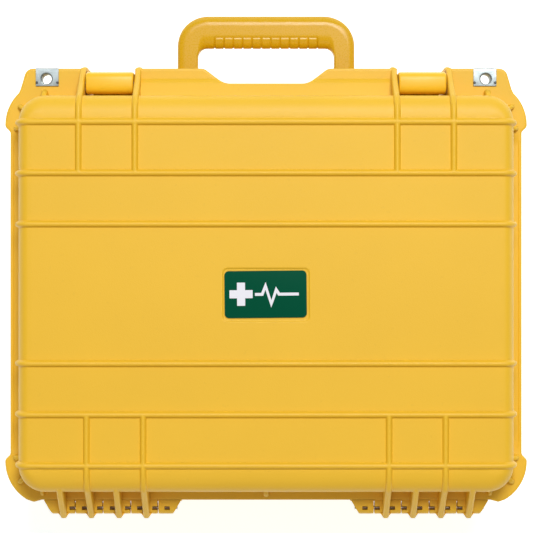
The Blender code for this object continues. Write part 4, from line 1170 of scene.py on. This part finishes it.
def eye_plate(side, face, up):
    """A folded plate: an L-shaped profile with a bend, carried along X."""
    front = -FLANGE_FRONT + 0.9
    top = face + up * SHEET
    lip = top - up * 5.2
    corners = [(PLATE_BACK, face, 0.3), (front, face, 0.3), (front, lip, 0.3)]
    corners += [(front - SHEET, lip, 0.3), (front - SHEET, top, 1.1), (PLATE_BACK, top, 0.3)]
    middle = side * PLATE_X
    return slab(rounded_outline(corners, 22), "X", middle - PLATE_HALF, middle + PLATE_HALF, 0.12, 1)


def eye_tube(side, face, seam, up):
    """The tube that lines the hole, with a rolled edge: a section turned round the hole's axis."""
    section = [(EYE_R, seam), (EYE_R, face + up * 0.3), (EYE_R + 0.35, face + up * 0.95)]
    section += [(EYE_R + 0.9, face + up * 1.15), (EYE_R + 1.25, face + up * 0.9)]
    section += [(EYE_TUBE - 0.05, face), (EYE_TUBE - 0.05, seam)]
    middle = (side * EYE_X, EYE_Y)
    return lofted([(circle(middle, radius, 40), z) for radius, z in section], looped=True)


def rivets(side, face, up):
    """Two low domes on the plate's rear corners."""
    dome = [(0, -0.2), (1.2, -0.2), (1.2, SHEET + 0.2), (0.8, SHEET + 0.5), (0, SHEET + 0.6)]
    dome = [(radius, up * height) for radius, height in dome]
    places = [side * PLATE_X + way * (PLATE_HALF - 1.0) for way in (-1, 1)]
    return [turned_solid(dome, (x, PLATE_BACK - 3.2, face), "Z", 16) for x in places]


class RESCUE_OT_eyes(bpy.types.Operator):
    """Builds the four folded steel padlock eyes"""

    bl_idname = "rescue_box.eyes"
    bl_label = "Padlock eyes"

    def execute(self, context):
        for half, rim, up in (("lid", LID_RIM, 1), ("base", BASE_RIM, -1)):
            face, seam = rim + up * (FLANGE + 0.1), rim + up * 0.3
            for side, word in SIDES:
                node = f"padlock_eye_{half}_{word}"
                sheet = eye_plate(side, face, up)
                plate = piece(f"eye_plate_{half}_{word}", [sheet], "Stainless steel", node, 30)
                cut_away(plate, [cutter(circle((side * EYE_X, EYE_Y), EYE_TUBE), "Z", 120, 150)])
                piece(f"eye_rivets_{half}_{word}", rivets(side, face, up), "Dark steel", node, 30)
                lining = eye_tube(side, face, seam, up)
                piece(f"eye_tube_{half}_{word}", [lining], "Stainless steel", node, 30)
        return {"FINISHED"}


# --- label

LABEL_PLATE = (36.5, 20.9, 4.0)
LABEL_MIDDLE = (0.4, 0.4)
LABEL_TURN = math.radians(0.6)


def on_label(outline):
    """An outline turned a little in plan, at the label's place."""
    x, y = outline[:, 0], outline[:, 1]
    cos, sin = math.cos(LABEL_TURN), math.sin(LABEL_TURN)
    return np.stack((x * cos - y * sin, x * sin + y * cos), -1) + np.array(LABEL_MIDDLE)


def stroke(points, width):
    """The outline of a thick line along points, its two sides offset along the corners' bisectors."""
    points = np.array(points, float)
    steps = unit(np.diff(points, axis=0))
    steps = np.concatenate((steps[:1], steps, steps[-1:]))
    sides = np.stack((-steps[:, 1], steps[:, 0]), -1)
    mitre = sides[:-1] + sides[1:]
    mitre = mitre / np.maximum(1 + np.sum(sides[:-1] * sides[1:], axis=1, keepdims=True), 0.25)
    return np.concatenate((points + mitre * width / 2, (points - mitre * width / 2)[::-1]))


class RESCUE_OT_label(bpy.types.Operator):
    """Builds the lid's label with a plain cross and a pulse line"""

    bl_idname = "rescue_box.label"
    bl_label = "Label"

    def execute(self, context):
        top = LID_FACE + 0.1
        plate = slab(on_label(rectangle(*LABEL_PLATE)), "Z", top - 0.75, top, 0.25)
        piece("label", [plate], "Label film", "label_plate")
        long, thick = 10.3, 3.6
        arm = [(long, -thick, 0.4), (long, thick, 0.4), (thick, thick, 0)]
        cross = []
        for _ in range(4):
            cross += arm
            arm = [(-y, x, radius) for x, y, radius in arm]
        cross = rounded_outline(cross) + np.array((21.8, -0.3))
        beat = [(9.5, 0), (3, 0), (0, -7.5), (-5, 8.5), (-9.5, -4), (-12, 0), (-29.5, 0)]
        shapes = (cross, stroke(beat, 2.6))
        parts = [slab(on_label(shape), "Z", top - 0.1, top + 0.07, 0.03, 1) for shape in shapes]
        piece("label_mark", parts, "White print", "label_plate")
        return {"FINISHED"}


# --- seal and vent


class RESCUE_OT_seal_and_vent(bpy.types.Operator):
    """Builds the lid's seal and the pressure vent"""

    bl_idname = "rescue_box.seal_and_vent"
    bl_label = "Seal and vent"

    def execute(self, context):
        section = circle((0.0, 0.0), 1.0, 16) * (2.2, 1.3) + (GROOVE_MIDDLE, LID_RIM + 2.9)
        piece("seal", [ring_round_body(section)], "Seal rubber", "lid_gasket")
        low, high = box_mm("vent_body")
        x, z = (low[0] + high[0]) / 2, (low[2] + high[2]) / 2
        outer, inner = low[1], high[1]
        body = [(0, inner), (5, inner), (5, outer + 3.1), (8.8, outer + 3.1)]
        body += [(8.8, outer + 1.0), (8.0, outer), (0, outer)]
        piece("vent_housing", [turned_solid(body, (x, 0, z), "Y")], "Dark plastic", "vent_body")
        low, high = box_mm("vent_cap")
        cap = [(0, high[1]), (5.8, high[1]), (5.8, low[1] + 0.5), (5.3, low[1]), (0, low[1])]
        made = piece("vent_cover", [turned_solid(cap, (x, 0, z), "Y")], "Dark plastic", "vent_cap")
        near, deep = low[1] - 1, low[1] + 0.7
        slots = [(z + lift - 0.4, z + lift + 0.4) for lift in (-2.4, 0, 2.4)]
        cut_away(made, [box_cutter((x - 4, near, foot), (x + 4, deep, head)) for foot, head in slots])
        finish_nodes("Dark plastic", "vent_nut")
        return {"FINISHED"}


# --- foam and spare pads

FOAM_CORNER = 14.7
LID_FOAM_LOW, LID_FOAM_HIGH = box_mm("lid_foam")
UNIT_LOW, UNIT_HIGH = box_mm("unit_front_housing")
UNIT_MIDDLE = (UNIT_LOW[:2] + UNIT_HIGH[:2]) / 2
UNIT_HALF = (UNIT_HIGH[0] - UNIT_LOW[0]) / 2
UNIT_CORNER = 20.0
UNIT_SEAM, UNIT_TOP = UNIT_LOW[2], UNIT_HIGH[2]
NEST_FLOOR = 35.0
NEST_ROOM = 4.0
SCOOP_R = 20.0
CRATE_PITCH = 36.0
CRATE_DEPTH = 13.0


def unit_outline(offset):
    return rectangle(UNIT_HALF + offset, UNIT_HALF + offset, UNIT_CORNER + offset, UNIT_MIDDLE)


def foam_layer(name, node, levels, cutters):
    """A foam layer: the box's outline through (pulled in, height) levels, with nests cut out of it."""
    outline = filled_in(rectangle(FOAM_HIGH[0], FOAM_HIGH[1], FOAM_CORNER), 14)
    body = lofted([(inset(outline, pull), z) for pull, z in levels])
    made = piece(name, [body], "Foam", node, 50)
    cut_away(made, cutters)
    soft = made.modifiers.new("soft edges", "BEVEL")
    soft.width = 1.6 * MM
    soft.segments = 3
    soft.limit_method = "ANGLE"
    soft.angle_limit = math.radians(55)


def nest(low, high):
    """The unit's nest with a finger scoop on each side, a hair higher so that no faces coincide."""
    scoops = [UNIT_MIDDLE + (way * (UNIT_HALF + NEST_ROOM - 2), 0) for way in (-1, 1)]
    cutters = [cutter(circle(middle, SCOOP_R), "Z", low + 0.013, high + 0.013) for middle in scoops]
    return [cutter(unit_outline(NEST_ROOM), "Z", low, high), *cutters]


def egg_crate():
    """The lid's foam. Its face is a product of two cosines, on rings that shrink to the middle."""
    outline = filled_in(rectangle(LID_FOAM_HIGH[0], LID_FOAM_HIGH[1], FOAM_CORNER), 5.5)
    low, high = LID_FOAM_LOW[2], LID_FOAM_HIGH[2]
    rows = [(inset(outline, 8.0), high), (inset(outline, 0.5), high - 8.5), (outline, high - 9.5)]
    for share in np.linspace(1, 0.004, 60):
        plan = outline * share
        wave = np.prod(np.cos(2 * math.pi * plan / CRATE_PITCH), axis=1)
        rows.append((plan, low + CRATE_DEPTH * (0.5 - 0.5 * wave) ** 1.15))
    return lofted(rows)


def foil_pouch():
    """Two foil sheets welded round their border.

    Height over the plan is a smooth bulge of the distance to the border, with shallow creases. The
    weld is a flat band with fine ridges along the border.
    """
    middle, half = middle_of("spare_pads_pouch")
    low, high = (middle - half)[2], (middle + half)[2]
    band = np.linspace(0, 9, 19)

    def lines(reach):
        inner = np.linspace(-reach + 9, reach - 9, 60)[1:-1]
        return np.concatenate((band - reach, inner, (reach - band)[::-1]))

    x, y = np.meshgrid(lines(half[0]), lines(half[1]), indexing="ij")
    distance = np.minimum(half[0] - np.abs(x), half[1] - np.abs(y))
    share = np.clip((distance - 8.5) / 30, 0, 1)
    bulge = np.sin(share * math.pi / 2) ** 0.8
    crease = np.sin(x / 6.1 + 1.8 * np.sin(y / 17)) * np.sin(y / 8.3 + 1.1 * np.sin(x / 13))
    crease = crease * 0.7 * np.clip(share * 5, 0, 1) * (1.25 - share)
    ridges = 0.22 * np.sin(distance * 2 * math.pi / 2.0) * (distance < 8)
    seam = low + 3.4
    upper = seam + 0.35 + (high - seam - 1.6) * bulge + crease + ridges
    lower = np.maximum(seam - 0.35 - 3.0 * bulge + ridges, low)
    upper = np.clip(upper, lower + 0.4, high)
    return joined_at_border(*(np.stack((x + middle[0], y + middle[1], z), -1) for z in (upper, lower)))


class RESCUE_OT_foam(bpy.types.Operator):
    """Builds the base's two foam layers with their nests, and the lid's egg-crate foam"""

    bl_idname = "rescue_box.foam"
    bl_label = "Foam"

    def execute(self, context):
        low, high = (corner[2] for corner in box_mm("base_foam_lower"))
        levels = [(9.6, low), (0.0, low + 12), (0.0, high - 0.8), (0.8, high)]
        foam_layer("foam_lower", "base_foam_lower", levels, nest(NEST_FLOOR, high + 5))
        low, high = FOAM_LOW[2], FOAM_HIGH[2]
        levels = [(0.8, low), (0.0, low + 0.8), (0.0, high - 3)]
        levels += [(0.6, high - 1.4), (1.6, high - 0.4), (3.0, high)]
        middle, half = middle_of("unit_handle")
        room = rectangle(half[0] + 6, half[1] + 8, 12, middle[:2] + (0, 4))
        middle, half = middle_of("spare_pads_pouch")
        pocket = rectangle(half[0] + 4, half[1] + 30, 12, middle[:2])
        cutters = nest(low - 5, high + 5)
        cutters += [cutter(room, "Z", low - 4, high + 4), cutter(pocket, "Z", low - 3, high + 3)]
        foam_layer("foam_upper", "base_foam_upper", levels, cutters)
        lid = piece("foam_lid", [egg_crate()], "Foam", "lid_foam", 60)
        return {"FINISHED"}


class RESCUE_OT_pouch(bpy.types.Operator):
    """Builds the foil pouch of spare electrode pads"""

    bl_idname = "rescue_box.pouch"
    bl_label = "Spare pads"

    def execute(self, context):
        made = piece("spare_pads", [foil_pouch()], "Pouch foil", "spare_pads_pouch", 60)
        return {"FINISHED"}


# --- defibrillator unit


def unit_housing():
    """The front housing's outside: its outline leans in and turns over a round edge into the face."""
    turn = np.radians(np.linspace(0, 90, 9))
    offsets = np.concatenate(([-0.5, 0.0, -0.3], -1.6 - 9.4 * (1 - np.cos(turn))))
    heights = UNIT_SEAM + np.array((0, 0.6, 12)), UNIT_TOP - 11 + 11 * np.sin(turn)
    heights = np.concatenate(heights)
    return lofted([(unit_outline(offset), z) for offset, z in zip(offsets, heights)])


def grooved_bumper():
    """The rubber bumper: a section with three grooves carried round the unit."""
    bottom, top = (corner[2] for corner in box_mm("unit_bumper"))
    section = [(0.3, bottom), (2.0, bottom + 0.2), (3.0, bottom + 2.4)]
    for lift in (6.5, 10.0, 13.5):
        groove = [(3.0, -0.9), (2.1, -0.4), (2.1, 0.4), (3.0, 0.9)]
        section += [(offset, bottom + lift + step) for offset, step in groove]
    section += [(3.0, top - 2.4), (2.0, top - 0.2), (0.3, top)]
    return lofted([(unit_outline(offset), z) for offset, z in section], looped=True)


def unit_loop_handle():
    """The unit's carrying loop: a U in plan carried along Z with well rounded edges."""
    low, high = box_mm("unit_handle")
    middle, half = middle_of("unit_handle")
    wall, grip, inner = high[1] + 2.6, low[1], half[0] - 14
    corners = [(inner, wall, 0), (half[0], wall, 0), (half[0], grip, 20), (-half[0], grip, 20)]
    corners += [(-half[0], wall, 0), (-inner, wall, 0), (-inner, grip + 16, 9), (inner, grip + 16, 9)]
    outline = rounded_outline(corners) + (middle[0], 0)
    return slab(filled_in(anticlockwise(outline), 10), "Z", low[2], high[2], 5.0, 5)


class RESCUE_OT_unit(bpy.types.Operator):
    """Builds the unit's front housing, bumper and carrying loop"""

    bl_idname = "rescue_box.unit"
    bl_label = "Unit"

    def execute(self, context):
        housing = piece("unit_face", [unit_housing()], "Pale plastic", "unit_front_housing", 40)
        floor = box_mm("pads_cartridge")[0][2] - 0.3
        deep, over = floor - 8, UNIT_TOP + 5
        cutters = [lofted([(unit_outline(-3.0), UNIT_SEAM - 5), (unit_outline(-5.0), floor - 3)])]
        for node, corner, foot in (("pads_cartridge", 5.3, floor), ("power_button", 4.5, deep)):
            middle, half = middle_of(node)
            well = rectangle(half[0] + 0.5, half[1] + 0.5, corner, middle[:2])
            cutters.append(cutter(well, "Z", foot, over))
        for node in ("shock_button", "status_window", "speaker_grille"):
            middle, half = middle_of(node)
            cutters.append(cutter(circle(middle[:2], half[0] + 0.5, 48), "Z", deep, over))
        cut_away(housing, cutters)
        piece("unit_guard", [grooved_bumper()], "Seal rubber", "unit_bumper")
        piece("unit_loop", [unit_loop_handle()], "Dark plastic", "unit_handle", 60)
        dark_parts = ("unit_rear_housing", "speaker_driver", "shock_capacitor", "battery_pack")
        finish_nodes("Dark plastic", *dark_parts)
        finish_nodes("Green key", "battery_release_tab")
        finish_nodes("Board", "circuit_board")
        finish_nodes("Stainless steel", *(f"unit_screw_{number}" for number in range(1, 5)))
        return {"FINISHED"}


def round_part(node):
    """A round part's radius, lowest and highest place, and its axis's place in plan."""
    middle, half = middle_of(node)
    return half[0], middle[2] - half[2], middle[2] + half[2], middle * (1, 1, 0)


class RESCUE_OT_controls(bpy.types.Operator):
    """Builds the unit's two keys with their marks, its status light and its speaker grille"""

    bl_idname = "rescue_box.controls"
    bl_label = "Controls"

    def execute(self, context):
        radius, low, top, centre = round_part("shock_button")
        rim = [(0, 1.6), (0.4, 0.7), (1.2, 0.15), (2.2, 0), (3.2, 0.15), (5, 0.7), (radius, 1.3)]
        dish = [(0, low), (radius, low), *((radius - pull, top - drop) for pull, drop in rim)]
        piece("shock_key_cap", [turned_solid(dish, centre, "Z", 64)], "Orange key", "shock_button")
        bolt = np.array([(2.6, 9.5), (-6.2, -1.2), (-0.6, -1.2), (-2.6, -9.5), (6.2, 1.2), (0.6, 1.2)])
        mark = slab(bolt + centre[:2], "Z", top - 1.5, top - 0.55, 0.1, 1)
        piece("shock_mark", [mark], "White print", "shock_button")
        middle, half = middle_of("power_button")
        top = middle[2] + half[2]
        cap = slab(rectangle(half[0], half[1], 4, middle[:2]), "Z", middle[2] - half[2], top, 1.8, 5)
        piece("power_key_cap", [cap], "Green key", "power_button")
        sweep = np.radians(np.linspace(130, 410, 32))
        ring = stroke(np.stack((5.4 * np.cos(sweep), 5.4 * np.sin(sweep)), -1), 1.5) + middle[:2]
        bar = rectangle(0.8, 3.6, 0.3, middle[:2] + (0, 4.2))
        marks = [slab(line, "Z", top - 0.2, top + 0.08, 0.03, 1) for line in (ring, bar)]
        piece("power_mark", marks, "White print", "power_button")
        radius, low, top, centre = round_part("status_window")
        lens = [(0, low), (radius, low), (radius, top - 1.0), (radius - 0.5, top - 0.3)]
        lens += [(radius - 1.6, top), (0, top + 0.5)]
        piece("status_lens", [turned_solid(lens, centre)], "Clear window", "status_window")
        radius, low, top, centre = round_part("speaker_grille")
        disc = [(0, low), (radius, low), (radius, top - 0.5), (radius - 0.5, top), (0, top)]
        grille = piece("speaker_cover", [turned_solid(disc, centre)], "Dark plastic", "speaker_grille")
        pitch = 3.7
        row, column = np.meshgrid(np.arange(-4, 5), np.arange(-5, 6), indexing="ij")
        places = np.stack((pitch * (column + 0.5 * (row % 2)), pitch * 0.866 * row), -1).reshape(-1, 2)
        places = places[np.linalg.norm(places, axis=1) < radius - 2.6] + centre[:2]
        holes = [cutter(circle(place, 1.15, 12), "Z", low - 1, top + 1) for place in places]
        cut_away(grille, [merged(holes)])
        return {"FINISHED"}


FILM_UP = 16
FILM_SIZE = (30, 5)


class RESCUE_OT_cartridge(bpy.types.Operator):
    """Builds the sealed tray of electrode pads with its pull tab"""

    bl_idname = "rescue_box.cartridge"
    bl_label = "Pads cartridge"

    def execute(self, context):
        middle, half = middle_of("pads_cartridge")
        low, high = middle[2] - half[2], middle[2] + half[2]
        outline = rectangle(half[0], half[1], 6, middle[:2])
        levels = [(0.4, low), (0.0, low + 0.4), (0.0, UNIT_TOP - 1.2), (0.6, UNIT_TOP)]
        levels += [(2.4, UNIT_TOP + 0.3), (2.9, high - 2), (3.4, high - 0.8), (4.4, high - 0.15), (5.4, high)]
        tray = lofted([(inset(outline, pull), z) for pull, z in levels])
        made = piece("cartridge", [tray], "Pale plastic", "pads_cartridge")
        tab, tab_half = middle_of("cartridge_pull_tab")
        slot = rectangle(tab_half[0] + 0.4, 13.0, 4, tab[:2] + (0, 7))
        inside = rectangle(half[0] - 3, half[1] - 3, 3, middle[:2])
        centre = middle[:2] + (0, FILM_UP)
        panel_half, panel_corner = FILM_SIZE
        panel = rectangle(half[0] - 12, panel_half, panel_corner, centre)
        over = high + 5
        cuts = ((slot, UNIT_TOP - 6, over), (inside, low + 1.6, UNIT_TOP - 8), (panel, high - 0.6, over))
        cut_away(made, [cutter(line, "Z", foot, head) for line, foot, head in cuts])
        film = rectangle(half[0] - 12.6, panel_half - 0.6, panel_corner - 0.4, centre)
        film_top = high - 0.3
        film = slab(film, "Z", high - 0.7, film_top, 0.12, 1)
        piece("cartridge_film", [film], "Label film", "pads_cartridge")
        torso = [(-11, -19, 1), (11, -19, 1), (15, 8, 6), (-15, 8, 6)]
        figure = [rounded_outline(torso) + centre, circle(centre + (0, 14), 5.0)]
        figure = [slab(part, "Z", film_top - 0.05, film_top + 0.06, 0.02, 1) for part in figure]
        piece("cartridge_figure", figure, "White print", "pads_cartridge")
        pads = [rectangle(2.6, 3.4, 1.2, centre + place) for place in ((7, -1), (-7.5, -11))]
        pads = [slab(pad, "Z", film_top, film_top + 0.14, 0.03, 1) for pad in pads]
        piece("cartridge_marks", pads, "Orange key", "pads_cartridge")
        low, high = box_mm("cartridge_pull_tab")
        parts = [block(low, high - (0, 0, 0.8), 1.0)]
        for y in (tab[1] - 3.2, tab[1], tab[1] + 3.2):
            corner, opposite = (low[0] + 3, y - 0.6, high[2] - 1.5), (high[0] - 3, y + 0.6, high[2])
            parts.append(block(corner, opposite, 0.4))
        piece("pull_tab", parts, "Orange key", "cartridge_pull_tab")
        finish_nodes("Gel pad", "electrode_pad_lower", "electrode_pad_upper")
        return {"FINISHED"}


# --- stage


FLOOR_REACH = 6.0


class RESCUE_OT_stage(bpy.types.Operator):
    """Sets up the pale floor, the soft light and the camera"""

    bl_idname = "rescue_box.stage"
    bl_label = "Stage"

    def execute(self, context):
        scene = context.scene
        floor_mesh = bpy.data.meshes.new("floor")
        corners = np.array([(-1, -1, 0), (1, -1, 0), (1, 1, 0), (-1, 1, 0)]) * FLOOR_REACH
        floor_mesh.from_pydata(corners.tolist(), [], [(0, 1, 2, 3)])
        floor = bpy.data.objects.new("floor", floor_mesh)
        scene.collection.objects.link(floor)
        _, shader = new_finish("Floor", (0.9, 0.9, 0.9), 0.8)
        shader.inputs["Emission Color"].default_value = (0.82, 0.94, 1, 1)
        shader.inputs["Emission Strength"].default_value = 0.68
        floor_mesh.materials.append(bpy.data.materials["Floor"])

        world = bpy.data.worlds.new("Studio")
        world.use_nodes = True
        sky = world.node_tree.nodes["Background"]
        sky.inputs["Color"].default_value = (1, 1, 1, 1)
        sky.inputs["Strength"].default_value = 0.3
        scene.world = world

        def soft_light(name, place, target, size, power):
            lamp = bpy.data.lights.new(name, "AREA")
            lamp.size = size
            lamp.energy = power
            made = bpy.data.objects.new(name, lamp)
            scene.collection.objects.link(made)
            made.location = place
            direction = (np.array(target) - np.array(place)).tolist()
            made.rotation_mode = "QUATERNION"
            made.rotation_quaternion = Vector(direction).to_track_quat("-Z", "Y")
            return lamp

        soft_light("key", (-0.35, -1.65, 3.35), (0, 0, 0.1), 1.3, 104)
        warm = soft_light("fill", (0.4, 1.9, 2.3), (0, 0, 0.1), 1.6, 12)
        warm.color = (1.0, 0.8, 0.62)

        camera = bpy.data.cameras.new("camera")
        camera.lens = 121.78
        camera.sensor_width = 36.0
        made = bpy.data.objects.new("camera", camera)
        scene.collection.objects.link(made)
        made.location = (-0.0004, 0.0013, PARTING * MM + settings().camera_height)
        made.rotation_euler = (0, 0, math.pi)
        scene.camera = made
        scene.view_settings.view_transform = "Standard"
        return {"FINISHED"}


# --- panel and registration


PIECES = (
    RESCUE_OT_finishes, RESCUE_OT_lid, RESCUE_OT_lid_edge, RESCUE_OT_base, RESCUE_OT_handle,
    RESCUE_OT_latches, RESCUE_OT_eyes, RESCUE_OT_label, RESCUE_OT_seal_and_vent, RESCUE_OT_foam,
    RESCUE_OT_pouch, RESCUE_OT_unit, RESCUE_OT_controls, RESCUE_OT_cartridge, RESCUE_OT_stage,
)


class RESCUE_PT_sidebar(bpy.types.Panel):
    """Lists the pieces in the order they are built"""

    bl_idname = "RESCUE_PT_sidebar"
    bl_label = "Rescue Box"
    bl_space_type = "VIEW_3D"
    bl_region_type = "UI"
    bl_category = "Rescue Box"

    def draw(self, context):
        for name in RescueBoxSettings.__annotations__:
            self.layout.prop(context.scene.rescue_box, name)
        for operator in PIECES:
            self.layout.operator(operator.bl_idname)


CLASSES = (RescueBoxSettings, *PIECES, RESCUE_PT_sidebar)


def register():
    for item in CLASSES:
        bpy.utils.register_class(item)
    bpy.types.Scene.rescue_box = bpy.props.PointerProperty(type=RescueBoxSettings)


def unregister():
    del bpy.types.Scene.rescue_box
    for item in reversed(CLASSES):
        bpy.utils.unregister_class(item)


def main():
    register()
    for operator in PIECES:
        group, name = operator.bl_idname.split(".")
        getattr(getattr(bpy.ops, group), name)()


if __name__ == "__main__":
    main()
